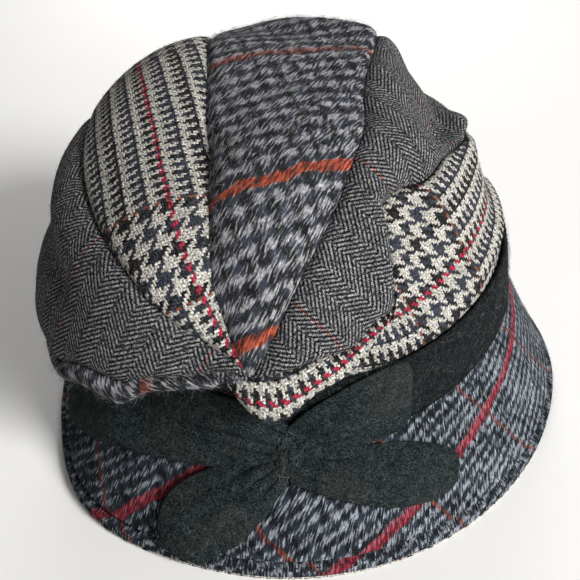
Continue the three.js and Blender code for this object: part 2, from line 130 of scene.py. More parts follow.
# %% Tables of the crown
CROWN_SECTIONS = [
    # level, turn, reach ahead, right, behind, left, height ahead, right, behind, left
    (0.00, 0, 98.5, 85.5, 98.5, 85.5, 38, 48, 56, 47),
    (0.12, 0, 95, 82, 95, 82, 66, 75, 83, 75),
    (0.16, -25, 100, 82, 82, 89, 72, 79, 88, 81),
    (0.25, -25, 121, 76, 74, 96, 69, 86, 94, 83),
    (0.43, -25, 116, 69, 67, 96, 88, 103, 110, 99),
    (0.61, -25, 103, 59, 59, 90, 109, 119, 127, 126),
    (0.80, -25, 60, 42, 51, 56, 131, 134, 147, 145),
    (1.00, -25, 0, 0, 0, 0, 141, 141, 141, 141),
]
FOLDS = [
    # from azimuth, level, to azimuth, level, width, push out, rise
    (11, 0.314, 24, 0.301, 16, 8.6, -11.5),
    (5, 0.266, 22.5, 0.299, 6, 2, -4.5),
    (6.5, 0.35, 15, 0.38, 15.5, 6.6, 1.5),
    (17.5, 0.244, 31.5, 0.285, 10, -2.7, 5.4),
    (35, 0.36, 37, 0.60, 9, 5, 1),
    (50, 0.40, 50, 0.58, 10, -4, 0),
    (100, 0.73, 138, 0.72, 15, -6, -16),
    (98, 0.58, 112, 0.56, 10, 5, 4),
    (-46, 0.26, -36, 0.26, 12, 3, -7),
    (-31, 0.24, -18, 0.24, 8, 3, -7),
    (-15, 0.24, -8, 0.25, 8, 1, 2),
    (-62, 0.45, -38, 0.45, 7, -4, 0),
    (-2, 0.50, -30, 0.80, 9, -2, -3),
    (-130, 0.80, 140, 0.84, 12, 0, -3),
]
TIP = (4.5, 0.36)
SEAMS = {
    "left": [(-6.3, 0.425), (-14, 0.511), (-21, 0.581), (-49, 0.642), (-88, 0.56), (-100, 0)],
    "centre": [
        (0.6, 0.417), (-3.1, 0.52), (-6.4, 0.623), (-13, 0.726), (-39, 0.838), (-114, 0.79), (-148, 0),
    ],
    "top": [(7.8, 0.424), (12.6, 0.513), (22, 0.643), (33, 0.763), (51, 0.849), (147, 0.88), (168, 0)],
    "lobe": [(8, 0.374), (13.3, 0.367), (20, 0.356), (29, 0.30), (37.3, 0.235)],
    "inset": [(38.8, 0.44), (39.1, 0.615)],
    "side": [(59.5, 0.593), (101, 0.594), (124, 0)],
    "front": [(1.5, 0.332), (-0.5, 0.295), (3, 0.22), (22, 0)],
    "under": [(-1.2, 0.338), (-8.7, 0.325), (-20.8, 0.326), (-31, 0.312), (-42, 0.278), (-56, 0)],
}
print("crown sections", len(CROWN_SECTIONS), "folds", len(FOLDS), "seams", len(SEAMS))

# %% [markdown]
# A crown point is found from its azimuth and level. The ovals give reaches and heights at
# one azimuth, a smooth curve runs through them from level to level, and then the folds
# move the point. Whole arrays of points are worked out at once, which keeps it quick.

# %% Shape of the crown
PLAIN_LEVEL = 0.13
FREE_LEVEL = 0.21
AXIS_SOFTENING = 20.0


def side_shares(azimuth):
    c, s = np.cos(azimuth), np.sin(azimuth)
    return np.stack([c, s, -c, -s]).clip(min=0) ** 2


def oval_reach(reaches, azimuth):
    sides = np.array(reaches, float)[:, None]
    if not sides.any():
        return np.zeros_like(azimuth)
    return 1 / np.sqrt((side_shares(azimuth) / sides**2).sum(0))


def oval_height(heights, azimuth):
    return (side_shares(azimuth) * np.array(heights, float)[:, None]).sum(0)


def polar(reach, azimuth, height):
    return np.stack([reach * np.sin(azimuth), -reach * np.cos(azimuth), height], axis=-1)


def plain_crown(azimuth, level):
    levels = [row[0] for row in CROWN_SECTIONS]
    own = [azimuth - math.radians(row[1]) for row in CROWN_SECTIONS]
    reach = [oval_reach(row[2:6], a) for row, a in zip(CROWN_SECTIONS, own)]
    height = [oval_height(row[6:10], a) for row, a in zip(CROWN_SECTIONS, own)]
    crest = CROWN_SECTIONS[-2]
    levels = np.array(levels + [2 - crest[0]])
    reach.append(-oval_reach(crest[2:6], own[-2] + math.pi))
    height.append(oval_height(crest[6:10], own[-2] + math.pi))
    gaps = np.diff(levels)
    k = np.clip(np.searchsorted(levels, level, "right") - 1, 0, len(levels) - 3)
    span = gaps[k]
    u = (level - levels[k]) / span
    each = np.arange(azimuth.size)

    def through(rows):
        values = np.stack(rows)
        rate = np.diff(values, axis=0) / gaps[:, None]
        before, after = gaps[:-1, None], gaps[1:, None]
        inner = (rate[:-1] * after + rate[1:] * before) / (before + after)
        slope = np.concatenate([rate[:1], inner])
        a, b = values[k, each], values[k + 1, each]
        curve = (2 * u**3 - 3 * u**2 + 1) * a + (3 * u**2 - 2 * u**3) * b
        curve += span * ((u**3 - 2 * u**2 + u) * slope[k, each] + (u**3 - u**2) * slope[k + 1, each])
        return np.where(k == 0, a + (b - a) * u, curve)

    return polar(through(reach), azimuth, through(height))


def smoothstep(x, low, high):
    t = np.clip((x - low) / (high - low), 0, 1)
    return t * t * (3 - 2 * t)


def crown(azimuth, level):
    plain = plain_crown(azimuth, level)
    outward = plain * (1, 1, 0)
    outward /= np.linalg.norm(outward, axis=1, keepdims=True) + AXIS_SOFTENING
    free = smoothstep(level, PLAIN_LEVEL, FREE_LEVEL)
    moved = plain.copy()
    for from_az, from_level, to_az, to_level, width, out, rise in FOLDS:
        ends = plain_crown(np.radians([from_az, to_az]), np.array([from_level, to_level]))
        line = ends[1] - ends[0]
        share = np.clip((plain - ends[0]) @ line / (line @ line), 0, 1)
        away = np.linalg.norm(plain - ends[0] - share[:, None] * line, axis=1)
        pull = free * np.exp(-((away / width) ** 2))
        moved += outward * (out * pull)[:, None]
        moved[:, 2] += rise * pull
    return moved


def from_disc(points):
    flat = points.reshape(-1, 2)
    azimuth = np.arctan2(flat[:, 0], -flat[:, 1])
    level = np.clip(1 - np.linalg.norm(flat, axis=1), 0, 1)
    return crown(azimuth, level).reshape(points.shape[:-1] + (3,))


print("top of the crown", crown(np.array([0.0]), np.array([0.999]))[0].round(1), "mm")

# %% [markdown]
# The seams are drawn on a flat disc, with the top of the crown at its middle and the brim
# seam at its rim. A smooth curve runs from the flopped tip through a few points of each
# seam. Both gores at a seam share its points, so their edges meet exactly, as sewn
# edges do.

# %% Seams
TIP_HOLE = 0.004
NEAR_TIP = 0.19
SHORT_START = 0.06
BASE_LEVELS = [0.118, 0.06, 0.0]
CROWDING = 1.5
LONG_ROWS = 60
LOBE_STEPS = 12
INSET_STEPS = 20
SPAN_POINTS = 60
LATE_SHARE = 0.4


def on_disc(azimuth, level):
    a = math.radians(azimuth)
    return np.array([(1 - level) * math.sin(a), (level - 1) * math.cos(a)])


def smooth_path(points):
    """A centripetal curve through points, as a fine polyline and the length run at each of its points."""
    p = np.array(points, float)
    p = np.vstack([2 * p[0] - p[1], p, 2 * p[-1] - p[-2]])
    knots = np.concatenate([[0], np.cumsum(np.linalg.norm(np.diff(p, axis=0), axis=1) ** 0.5)])
    line = []
    for i in range(1, len(p) - 2):
        t = np.linspace(knots[i], knots[i + 1], SPAN_POINTS)[:, None]
        first, second, third = (
            ((knots[j + 1] - t) * p[j] + (t - knots[j]) * p[j + 1]) / (knots[j + 1] - knots[j])
            for j in (i - 1, i, i + 1)
        )
        early = ((knots[i + 1] - t) * first + (t - knots[i - 1]) * second) / (knots[i + 1] - knots[i - 1])
        late = ((knots[i + 2] - t) * second + (t - knots[i]) * third) / (knots[i + 2] - knots[i])
        line.append(((knots[i + 1] - t) * early + (t - knots[i]) * late) / (knots[i + 1] - knots[i]))
    line = np.vstack(line)
    along = np.concatenate([[0], np.cumsum(np.linalg.norm(np.diff(line, axis=0), axis=1))])
    return line, along


def sample_path(path, fractions):
    line, along = path
    at = np.asarray(fractions) * along[-1]
    return np.stack([np.interp(at, along, line[:, k]) for k in range(line.shape[1])], axis=1)


def rows_to_base(path, start):
    line, along = path
    late = along >= LATE_SHARE * along[-1]
    radius = np.linalg.norm(line[late], axis=1)
    base = [np.interp(1 - level, radius, along[late] / along[-1]) for level in BASE_LEVELS]
    free = start + (base[0] - start) * (1 - (1 - np.linspace(0, 1, LONG_ROWS + 1)) ** CROWDING)
    return np.concatenate([free, base[1:]])


tip = on_disc(*TIP)
knot_points = {name: [on_disc(*p) for p in rows] for name, rows in SEAMS.items()}
lobe_path = smooth_path([tip, *knot_points["lobe"]])
lobe_edge = sample_path(lobe_path, np.linspace(TIP_HOLE / lobe_path[1][-1], 1, LOBE_STEPS + 1))
inset_path = smooth_path([knot_points["lobe"][-1], *knot_points["inset"]])
tip_edge = np.vstack([lobe_edge, sample_path(inset_path, np.linspace(0, 1, INSET_STEPS + 1))[1:]])
side_path = smooth_path([knot_points["inset"][-1], *knot_points["side"]])
side_rows = sample_path(side_path, np.concatenate([[0], rows_to_base(side_path, SHORT_START)]))


def long_seam(name, near_tip):
    path = smooth_path([tip, *knot_points[name]])
    close = np.linspace(TIP_HOLE / path[1][-1], near_tip, len(tip_edge) + 1)[:-1]
    return sample_path(path, np.concatenate([close, rows_to_base(path, near_tip)]))


seam_lines = {name: long_seam(name, NEAR_TIP) for name in ("left", "centre", "top", "under")}
seam_lines["front"] = long_seam("front", SHORT_START)
seam_lines["right"] = np.vstack([tip_edge, side_rows[1:]])
front_short = np.vstack([seam_lines["front"][:1], seam_lines["front"][1 - len(side_rows):]])
print("rows of a long seam", len(seam_lines["left"]), "of a short one", len(side_rows))

# %% [markdown]
# Each gore is a four-sided patch between two seams. Rows across it are straight on the
# disc near the tip, and bend into arcs round the crown by the band. The cloth dips where
# it is turned into a seam and puffs up between, with soft uneven swells, as worn wool has.

# %% Patches of the gores
SEAM_DIP = 1.7
SEAM_DIP_WIDTH = 3.4
SEAM_FOLD = 0.9
SEAM_FOLD_WIDTH = 1.1
GORE_PUFF = 1.7
PUFF_WIDTH = 18.0
SWELL = 0.55
SWELL_LENGTH = 17.0
SMALL_SWELLS = 2.3
DISC_STEP = 0.012
ACROSS = 40


def arc_between(start, end, shares):
    a = np.arctan2(start[0], -start[1])
    turn = np.arctan2(end[0], -end[1]) - a
    sweep = (turn - 2 * math.pi * round(turn / (2 * math.pi))) * shares
    return np.stack([
        start[0] * np.cos(sweep) - start[1] * np.sin(sweep),
        start[0] * np.sin(sweep) + start[1] * np.cos(sweep),
    ], axis=1)


def fill_patch(first, second, start, shares):
    band = len(first) - len(BASE_LEVELS)
    band_arc = arc_between(first[band], second[band], shares)

    def bend(edge):
        return edge - (edge[0] + shares[:, None] * (edge[-1] - edge[0]))

    rows = []
    for i, (a, b) in enumerate(zip(first, second)):
        plain = a + shares[:, None] * (b - a)
        fade = i / band
        rows.append(arc_between(a, b, shares) if i >= band
                    else plain + (1 - fade) * bend(start) + fade * bend(band_arc))
    return np.stack(rows)


def crown_normals(patch):
    def moved(x, y):
        return from_disc(patch + (x, y))

    sideways = moved(DISC_STEP, 0) - moved(-DISC_STEP, 0)
    backwards = moved(0, DISC_STEP) - moved(0, -DISC_STEP)
    normal = np.cross(sideways, backwards)
    return normal / np.linalg.norm(normal, axis=2, keepdims=True)


def swell_at(point):
    place = Vector(point) / SWELL_LENGTH
    return noise.noise(place) + 0.5 * noise.noise(place * SMALL_SWELLS)


def gore_surface(patch, starts_at_seam):
    """Outer face of a gore in millimetres, as rows of points."""
    surface = from_disc(patch)
    normals = crown_normals(patch)
    edges = [surface[:, :1], surface[:, -1:]] + ([surface[:1]] if starts_at_seam else [])
    to_seam = np.min([np.linalg.norm(surface - edge, axis=2) for edge in edges], axis=0)
    level = 1 - np.linalg.norm(patch, axis=2)
    free = smoothstep(level, PLAIN_LEVEL, FREE_LEVEL)
    dip = SEAM_DIP * np.exp(-((to_seam / SEAM_DIP_WIDTH) ** 2))
    dip += SEAM_FOLD * np.exp(-((to_seam / SEAM_FOLD_WIDTH) ** 2))
    inside = 1 - np.exp(-((to_seam / PUFF_WIDTH) ** 2))
    swell = np.array([swell_at(p) for p in surface.reshape(-1, 3)]).reshape(to_seam.shape)
    lift = (GORE_PUFF + SWELL * swell) * inside - dip
    return surface + normals * (lift * free)[..., None]


def plain_gore(first, second):
    even = np.linspace(0, 1, ACROSS + 1)
    shares = 0.5 * even + 0.25 * (1 - np.cos(math.pi * even))
    start = first[0] + shares[:, None] * (second[0] - first[0])
    return gore_surface(fill_patch(first, second, start, shares), False)


def corner_gore():
    start = np.vstack([front_short[:1], tip_edge[1:]])
    shares = np.linspace(0, 1, len(start)) ** CROWDING
    return gore_surface(fill_patch(front_short, side_rows, start, shares), True)


GORES = {
    "gore_herringbone_left": plain_gore(seam_lines["left"], seam_lines["under"]),
    "gore_glen_left": plain_gore(seam_lines["centre"], seam_lines["left"]),
    "gore_plaid_centre": plain_gore(seam_lines["top"], seam_lines["centre"]),
    "gore_herringbone_right": plain_gore(seam_lines["right"], seam_lines["top"]),
    "gore_glen_right": corner_gore(),
    "gore_plaid_front": plain_gore(seam_lines["under"], seam_lines["front"]),
}
print("gore points", {name: rows.shape[:2] for name, rows in GORES.items()})

# %% [markdown]
# A piece of cloth starts as Blender's own flat grid, and each point of the grid is moved
# to its place on the hat. Solidify then gives the cloth its thickness, inwards, so the
# outer face stays where it was drawn. A sheet keeps its quads this way, which flattening
# and smooth shading both need.

# %% Sheets of cloth
def hat_place(points):
    return (np.asarray(points) + (0, AXIS_BACK, 0)) * MM


def cloth_grid(name, rows, thickness):
    count, columns = rows.shape[:2]
    bm = bmesh.new()
    bmesh.ops.create_grid(bm, x_segments=columns - 1, y_segments=count - 1, size=0.5)
    placed = hat_place(rows)
    for vertex in bm.verts:
        column = round((0.5 - vertex.co.x) * (columns - 1))
        row = round((vertex.co.y + 0.5) * (count - 1))
        vertex.co = placed[row, column]
    mesh = bpy.data.meshes.new(name)
    bm.to_mesh(mesh)
    bm.free()
    mesh.shade_smooth()
    piece = bpy.data.objects.new(name, mesh)
    bpy.context.collection.objects.link(piece)
    wall = piece.modifiers.new("cloth", "SOLIDIFY")
    wall.thickness = thickness * MM
    wall.offset = -1
    wall.use_quality_normals = True
    return piece


print("the head's axis lies", AXIS_BACK, "mm behind the middle of the base")

# %% [markdown]
# A woven pattern has to follow the cloth as it was cut. Unwrapping with the least stretch
# lays a piece flat again, like taking the hat apart. The flat piece is then scaled to its
# real size, and turned and slid until a chosen line of the cloth, such as a stripe,
# lies along the weft.

# %% Flatten a sheet back to its cut
def vertex_positions(mesh):
    points = np.zeros(len(mesh.vertices) * 3)
    mesh.vertices.foreach_get("co", points)
    return points.reshape(-1, 3)


def unwrapped(piece):
    """Lays a piece flat, and returns the vertex and the flat place of each corner of its quads."""
    mesh = piece.data
    mesh.uv_layers.new(name="cloth")
    bpy.context.view_layer.objects.active = piece
    piece.select_set(True)
    bpy.ops.object.mode_set(mode="EDIT")
    bpy.ops.mesh.select_all(action="SELECT")
    bpy.ops.uv.unwrap(method="MINIMUM_STRETCH", margin=0.0)
    bpy.ops.object.mode_set(mode="OBJECT")
    piece.select_set(False)
    corners = np.zeros(len(mesh.loops), int)
    mesh.loops.foreach_get("vertex_index", corners)
    flat = np.zeros(len(mesh.loops) * 2)
    mesh.uv_layers["cloth"].data.foreach_get("uv", flat)
    return corners, flat.reshape(-1, 2)


def flatten(piece, start, end, offset, heading=0.0):
    """Gives a piece its map of the flat cloth in metres, and returns the cut's width, length and area.

    The line from start to end comes to lie heading degrees from the weft, with its start at the offset.
    """
    mesh = piece.data
    corners, flat = unwrapped(piece)
    on_quad = flat.reshape(-1, 4, 2)
    across = on_quad[:, 2] - on_quad[:, 0]
    along = on_quad[:, 3] - on_quad[:, 1]
    flat_area = np.abs(across[:, 0] * along[:, 1] - across[:, 1] * along[:, 0]).sum() / 2
    places = vertex_positions(mesh)[corners.reshape(-1, 4)]
    area = np.linalg.norm(
        np.cross(places[:, 2] - places[:, 0], places[:, 3] - places[:, 1]), axis=1).sum() / 2
    flat *= math.sqrt(area / flat_area)
    middle = flat - flat.mean(axis=0)
    turned = middle @ np.linalg.eigh(middle.T @ middle)[1]
    size = turned.max(axis=0) - turned.min(axis=0)
    ends = hat_place([start, end])
    nearest = [np.linalg.norm(vertex_positions(mesh) - p, axis=1).argmin() for p in ends]
    on_flat = np.zeros((len(mesh.vertices), 2))
    on_flat[corners] = flat
    run = on_flat[nearest[1]] - on_flat[nearest[0]]
    turn = math.radians(heading) - math.atan2(run[1], run[0])
    c, s = math.cos(turn), math.sin(turn)
    flat = (flat - on_flat[nearest[0]]) @ np.array([[c, s], [-s, c]]) + np.array(offset) * MM
    mesh.uv_layers["cloth"].data.foreach_set("uv", flat.ravel())
    return float(size.min()), float(size.max()), float(area)


print("sheets to flatten so far", len(GORES))

# %% [markdown]
# The cloths are made of shader nodes. A material can be wired by hand in the editor, but
# in a script a few short helpers keep the wiring readable: each makes one node, takes
# numbers or sockets, and gives back the socket that comes out.

# %% Helpers for nodes
MIX_SHARE = 0
MIX_COLOURS = (6, 7)
MIX_COLOUR_RESULT = 2
MIX_NUMBERS = (2, 3)
MIX_NUMBER_RESULT = 0


def feed(tree, socket, value):
    if isinstance(value, bpy.types.NodeSocket):
        tree.links.new(value, socket)
    else:
        socket.default_value = value


def number(tree, operation, *values):
    node = tree.nodes.new("ShaderNodeMath")
    node.operation = operation
    for socket, value in zip(node.inputs, values):
        feed(tree, socket, value)
    return node.outputs[0]


def vector(tree, operation, *values):
    node = tree.nodes.new("ShaderNodeVectorMath")
    node.operation = operation
    for socket, value in zip(node.inputs, values):
        feed(tree, socket, value)
    return node.outputs[0]


def scaled(tree, source, factor):
    node = tree.nodes.new("ShaderNodeVectorMath")
    node.operation = "SCALE"
    feed(tree, node.inputs[0], source)
    feed(tree, node.inputs["Scale"], factor)
    return node.outputs[0]


def mixed(tree, share, first, second, blend="MIX"):
    node = tree.nodes.new("ShaderNodeMix")
    node.data_type = "RGBA"
    node.blend_type = blend
    feed(tree, node.inputs[MIX_SHARE], share)
    for place, value in zip(MIX_COLOURS, (first, second)):
        feed(tree, node.inputs[place], value)
    return node.outputs[MIX_COLOUR_RESULT]


def noise_node(tree, place, scale, detail=2.0, distortion=0.0):
    node = tree.nodes.new("ShaderNodeTexNoise")
    feed(tree, node.inputs["Vector"], place)
    node.inputs["Scale"].default_value = scale
    node.inputs["Detail"].default_value = detail
    node.inputs["Distortion"].default_value = distortion
    return node.outputs


print("node helpers:", [helper.__name__ for helper in (feed, number, vector, scaled, mixed, noise_node)])

# %% Helpers for groups
FLOAT = "NodeSocketFloat"
COLOUR = "NodeSocketColor"
VECTOR = "NodeSocketVector"


def new_group(name, inputs, outputs):
    tree = bpy.data.node_groups.new(name, "ShaderNodeTree")
    for label, kind, value in inputs:
        socket = tree.interface.new_socket(name=label, in_out="INPUT", socket_type=kind)
        if value is not None:
            socket.default_value = value
    for label, kind in outputs:
        tree.interface.new_socket(name=label, in_out="OUTPUT", socket_type=kind)
    return tree, tree.nodes.new("NodeGroupInput").outputs, tree.nodes.new("NodeGroupOutput").inputs


def placed_group(tree, group, **values):
    node = tree.nodes.new("ShaderNodeGroup")
    node.node_tree = group
    for label, value in values.items():
        feed(tree, node.inputs[label.replace("_", " ")], value)
    return node.outputs


print("group helpers:", new_group.__name__, placed_group.__name__)

# %% [markdown]
# Tweed is yarn crossing yarn. The node group below finds, at any spot of the flat cloth,
# the number of the warp yarn and of the weft yarn, and which of the two is on top in a
# two-over, two-under twill. Turning the twill every few yarns gives herringbone. A small
# wander makes the yarns uneven. A picture of cloth could be laid on instead, but a group
# is built once, stays sharp, and serves both tweeds with their own values.

# %% Twill weave
FINE_WANDER = 1700.0
SLOW_WANDER = 75.0
MIDDLE_GREY = (0.5, 0.5, 0.5)
COUNT_AHEAD = 900000.0

twill, given, result = new_group(
    "twill yarns",
    [("Cloth", VECTOR, None), ("Yarn", FLOAT, 0.0008), ("Wander", FLOAT, 0.0002), ("Turn", FLOAT, 1e6)],
    [("Warp Number", FLOAT), ("Weft Number", FLOAT), ("Warp Over", FLOAT), ("Height", FLOAT)],
)
fine = noise_node(twill, given["Cloth"], FINE_WANDER, 3.0)["Color"]
slow = noise_node(twill, given["Cloth"], SLOW_WANDER)["Color"]
drift = vector(twill, "ADD", vector(twill, "SUBTRACT", fine, MIDDLE_GREY),
               vector(twill, "SUBTRACT", slow, MIDDLE_GREY))
moved = vector(twill, "ADD", given["Cloth"], scaled(twill, drift, given["Wander"]))
counted = scaled(twill, moved, number(twill, "DIVIDE", 1.0, given["Yarn"]))
split = twill.nodes.new("ShaderNodeSeparateXYZ")
feed(twill, split.inputs[0], counted)
warp_number = number(twill, "FLOOR", split.outputs[0])
weft_number = number(twill, "FLOOR", split.outputs[1])
# Yarns are counted from far to one side, so the columns don't mirror at zero.
column = number(twill, "FLOOR", number(
    twill, "DIVIDE", number(twill, "ADD", warp_number, COUNT_AHEAD), given["Turn"]))
lean = number(twill, "SUBTRACT", 1.0, number(twill, "MULTIPLY", 2.0, number(
    twill, "FLOORED_MODULO", column, 2.0)))
step = number(twill, "FLOORED_MODULO", number(
    twill, "MULTIPLY_ADD", warp_number, lean, weft_number), 4.0)
warp_over = number(twill, "LESS_THAN", step, 1.5)


def yarn_round(share):
    centred = number(twill, "MULTIPLY_ADD", number(twill, "FRACT", share), 2.0, -1.0)
    return number(twill, "SUBTRACT", 1.0, number(twill, "MULTIPLY", centred, centred))


crossed = twill.nodes.new("ShaderNodeMix")
feed(twill, crossed.inputs[MIX_SHARE], warp_over)
for place, side in zip(MIX_NUMBERS, (split.outputs[1], split.outputs[0])):
    feed(twill, crossed.inputs[place], yarn_round(side))
feed(twill, result["Warp Number"], warp_number)
feed(twill, result["Weft Number"], weft_number)
feed(twill, result["Warp Over"], warp_over)
feed(twill, result["Height"], crossed.outputs[MIX_NUMBER_RESULT])
print("group", twill.name, "with", len(twill.nodes), "nodes")

# %% [markdown]
# The order in which coloured yarns are wound on the loom makes the check. This group
# turns a yarn's number into its colour: bands of dark and light yarns, finer bands after
# the coarse part of a block, a coloured stripe now and then, and a small change from yarn
# to yarn.

# %% Yarn colours
LOWEST_TONE = 0.85
TONE_SPAN = 0.3

yarns, given, result = new_group(
    "yarn colours",
    [("Number", FLOAT, 0.0), ("Band", FLOAT, 4.0), ("Fine Band", FLOAT, 4.0), ("Block", FLOAT, 120.0),
     ("Coarse", FLOAT, 36.0),
     ("Dark", COLOUR, (0, 0, 0, 1)), ("Second Dark", COLOUR, (0, 0, 0, 1)),
     ("Light", COLOUR, (1, 1, 1, 1)),
     ("Stripe", COLOUR, (1, 0, 0, 1)), ("Stripe Every", FLOAT, 64.0), ("Stripe Start", FLOAT, 0.0),
     ("Stripe Width", FLOAT, 2.0)],
    [("Colour", COLOUR), ("Stripe Mask", FLOAT)],
)
in_fine = number(
    yarns, "GREATER_THAN", number(yarns, "FLOORED_MODULO", given["Number"], given["Block"]),
    number(yarns, "SUBTRACT", given["Coarse"], 0.5))
band = number(yarns, "MULTIPLY_ADD", in_fine, number(
    yarns, "SUBTRACT", given["Fine Band"], given["Band"]), given["Band"])
is_dark = number(yarns, "LESS_THAN", number(
    yarns, "FLOORED_MODULO", given["Number"], number(yarns, "MULTIPLY", band, 2.0)), number(
    yarns, "SUBTRACT", band, 0.5))
is_first = number(yarns, "LESS_THAN", number(
    yarns, "FLOORED_MODULO", given["Number"], number(yarns, "MULTIPLY", band, 4.0)), number(
    yarns, "MULTIPLY", band, 2.0))
darks = mixed(yarns, is_first, given["Second Dark"], given["Dark"])
banded = mixed(yarns, is_dark, given["Light"], darks)
in_stripe = number(yarns, "LESS_THAN", number(
    yarns, "FLOORED_MODULO", number(yarns, "SUBTRACT", given["Number"], given["Stripe Start"]),
    given["Stripe Every"]), number(yarns, "SUBTRACT", given["Stripe Width"], 0.5))
striped = mixed(yarns, in_stripe, banded, given["Stripe"])
chance = yarns.nodes.new("ShaderNodeTexWhiteNoise")
chance.noise_dimensions = "1D"
feed(yarns, chance.inputs["W"], given["Number"])
tone = number(yarns, "MULTIPLY_ADD", chance.outputs["Value"], TONE_SPAN, LOWEST_TONE)
feed(yarns, result["Colour"], mixed(yarns, 1.0, striped, tone, "MULTIPLY"))
feed(yarns, result["Stripe Mask"], in_stripe)
print("group", yarns.name, "with", len(yarns.nodes), "nodes")

# %% [markdown]
# On brushed plaid the yarns are no longer seen one by one. Brushing draws the light ones
# into slanting strokes, thick where light warp and light weft meet and thin elsewhere.
# The twill group would show yarns that the eye can't find, so this cloth has a group of
# its own: it crosses two waves for the bands, adds a noise drawn out along the slant, keeps
# what rises above a soft step, and splits that into hairs with a finer noise.

# %% Soft steps and stripes
STRIPE_EDGES = (0.62, 0.34)


def soft_step(tree, value, low, high):
    node = tree.nodes.new("ShaderNodeMapRange")
    node.interpolation_type = "SMOOTHSTEP"
    for label, given_value in (("Value", value), ("From Min", low), ("From Max", high)):
        feed(tree, node.inputs[label], given_value)
    return node.outputs["Result"]


def stripe_mask(tree, place, every, middle, width):
    wrapped = number(tree, "WRAP", number(tree, "SUBTRACT", place, middle), every / 2, -every / 2)
    outside, inside = STRIPE_EDGES
    return soft_step(tree, number(tree, "ABSOLUTE", wrapped), outside * width, inside * width)


print("a stripe fades between", STRIPE_EDGES, "of its width")

# %% Brushed flecks
BAND_DRIFT = 0.7
STROKE_DRIFT = 0.25
STROKE_LENGTHWAYS = 0.13
STROKE_SIDEWAYS = 0.71
STROKE_CONTRAST = 5.0
STROKE_EDGES = (0.38, 0.62)
WEFT_LIGHT = 0.72
WARP_LIGHT = 0.10
BRUSHED_EDGES = (0.20, 1.15)
HAIR_FINENESS = 2.6
HAIR_EDGES = (0.36, 0.64)
HAIR_SHARE = 0.6
PATCH_EDGES = (0.5, 0.8)

flecks, given, result = new_group(
    "brushed flecks",
    [("Cloth", VECTOR, None), ("Repeat", FLOAT, 0.008), ("Stroke", FLOAT, 0.001), ("Cover", FLOAT, 0.0),
     ("Crossing", FLOAT, 0.45)],
    [("Light", FLOAT), ("Second", FLOAT), ("Strokes", FLOAT), ("Across", FLOAT), ("Along", FLOAT)],
)
wobble = noise_node(flecks, given["Cloth"], 120.0, 1.0)["Color"]
drift = vector(flecks, "SUBTRACT", wobble, MIDDLE_GREY)


def drifted(share):
    """The two ways along the cloth, after a drift of some share of the repeat."""
    split = flecks.nodes.new("ShaderNodeSeparateXYZ")
    feed(flecks, split.inputs[0], vector(flecks, "ADD", given["Cloth"], scaled(
        flecks, drift, number(flecks, "MULTIPLY", given["Repeat"], share))))
    return split.outputs[0], split.outputs[1]


along, across = drifted(BAND_DRIFT)


def band_wave(side):
    turns = number(flecks, "DIVIDE", number(flecks, "MULTIPLY", side, 2 * math.pi), given["Repeat"])
    return number(flecks, "MULTIPLY_ADD", number(flecks, "SINE", turns), 0.5, 0.5)


slant = flecks.nodes.new("ShaderNodeCombineXYZ")
straight = drifted(STROKE_DRIFT)
lengthways = number(flecks, "MULTIPLY", number(flecks, "ADD", *straight), STROKE_LENGTHWAYS)
sideways = number(flecks, "MULTIPLY", number(flecks, "SUBTRACT", *straight), STROKE_SIDEWAYS)
feed(flecks, slant.inputs[0], lengthways)
feed(flecks, slant.inputs[1], sideways)
drawn_out = scaled(flecks, slant.outputs[0], number(flecks, "DIVIDE", 1.0, given["Stroke"]))
strokes = noise_node(flecks, drawn_out, 1.0, 4.0)["Fac"]
weft_wave, warp_wave = band_wave(across), band_wave(along)
meeting = number(flecks, "MULTIPLY", weft_wave, number(
    flecks, "MULTIPLY_ADD", number(flecks, "SUBTRACT", warp_wave, 0.5), given["Crossing"], WEFT_LIGHT))
lit = number(flecks, "MULTIPLY_ADD", warp_wave, WARP_LIGHT, meeting)
contrast = number(flecks, "MULTIPLY_ADD", strokes, STROKE_CONTRAST, -STROKE_CONTRAST / 2)
raised = number(flecks, "ADD", contrast, given["Cover"])
finer = noise_node(flecks, scaled(flecks, drawn_out, HAIR_FINENESS), 1.0)["Fac"]
hairs = soft_step(flecks, finer, *HAIR_EDGES)
brushed_up = soft_step(flecks, number(flecks, "ADD", lit, raised), *BRUSHED_EDGES)
feed(flecks, result["Light"], number(
    flecks, "MULTIPLY", brushed_up, number(flecks, "MULTIPLY_ADD", hairs, HAIR_SHARE, 1 - HAIR_SHARE)))
patchy_dye = noise_node(flecks, given["Cloth"], 150.0)["Fac"]
patches = number(flecks, "MULTIPLY_ADD", warp_wave, 0.25, patchy_dye)
feed(flecks, result["Second"], soft_step(flecks, patches, *PATCH_EDGES))
feed(flecks, result["Strokes"], soft_step(flecks, strokes, *STROKE_EDGES))
feed(flecks, result["Across"], across)
feed(flecks, result["Along"], along)
print("group", flecks.name, "with", len(flecks.nodes), "nodes")

# %% [markdown]
# Brushed wool has a nap: loose fibres that lie over the weave in curls. Thin bright lines
# come from the middle values of a twisted noise, and a slower noise gathers them into
# tufts. Every fibre as a mesh would be far too heavy, so only the longest are modelled
# later, and this group paints the rest: it takes the cloth's colour and gives it back with
# the nap on top, and a height for the bump.

# %% Nap
CURL_SCALE = 520.0
CURL_TWIST = 1.6
TUFT_SCALE = 160.0
TUFT_GAIN = 1.6
LINE_THINNESS = 26.0
LINE_RELIEF = 0.6

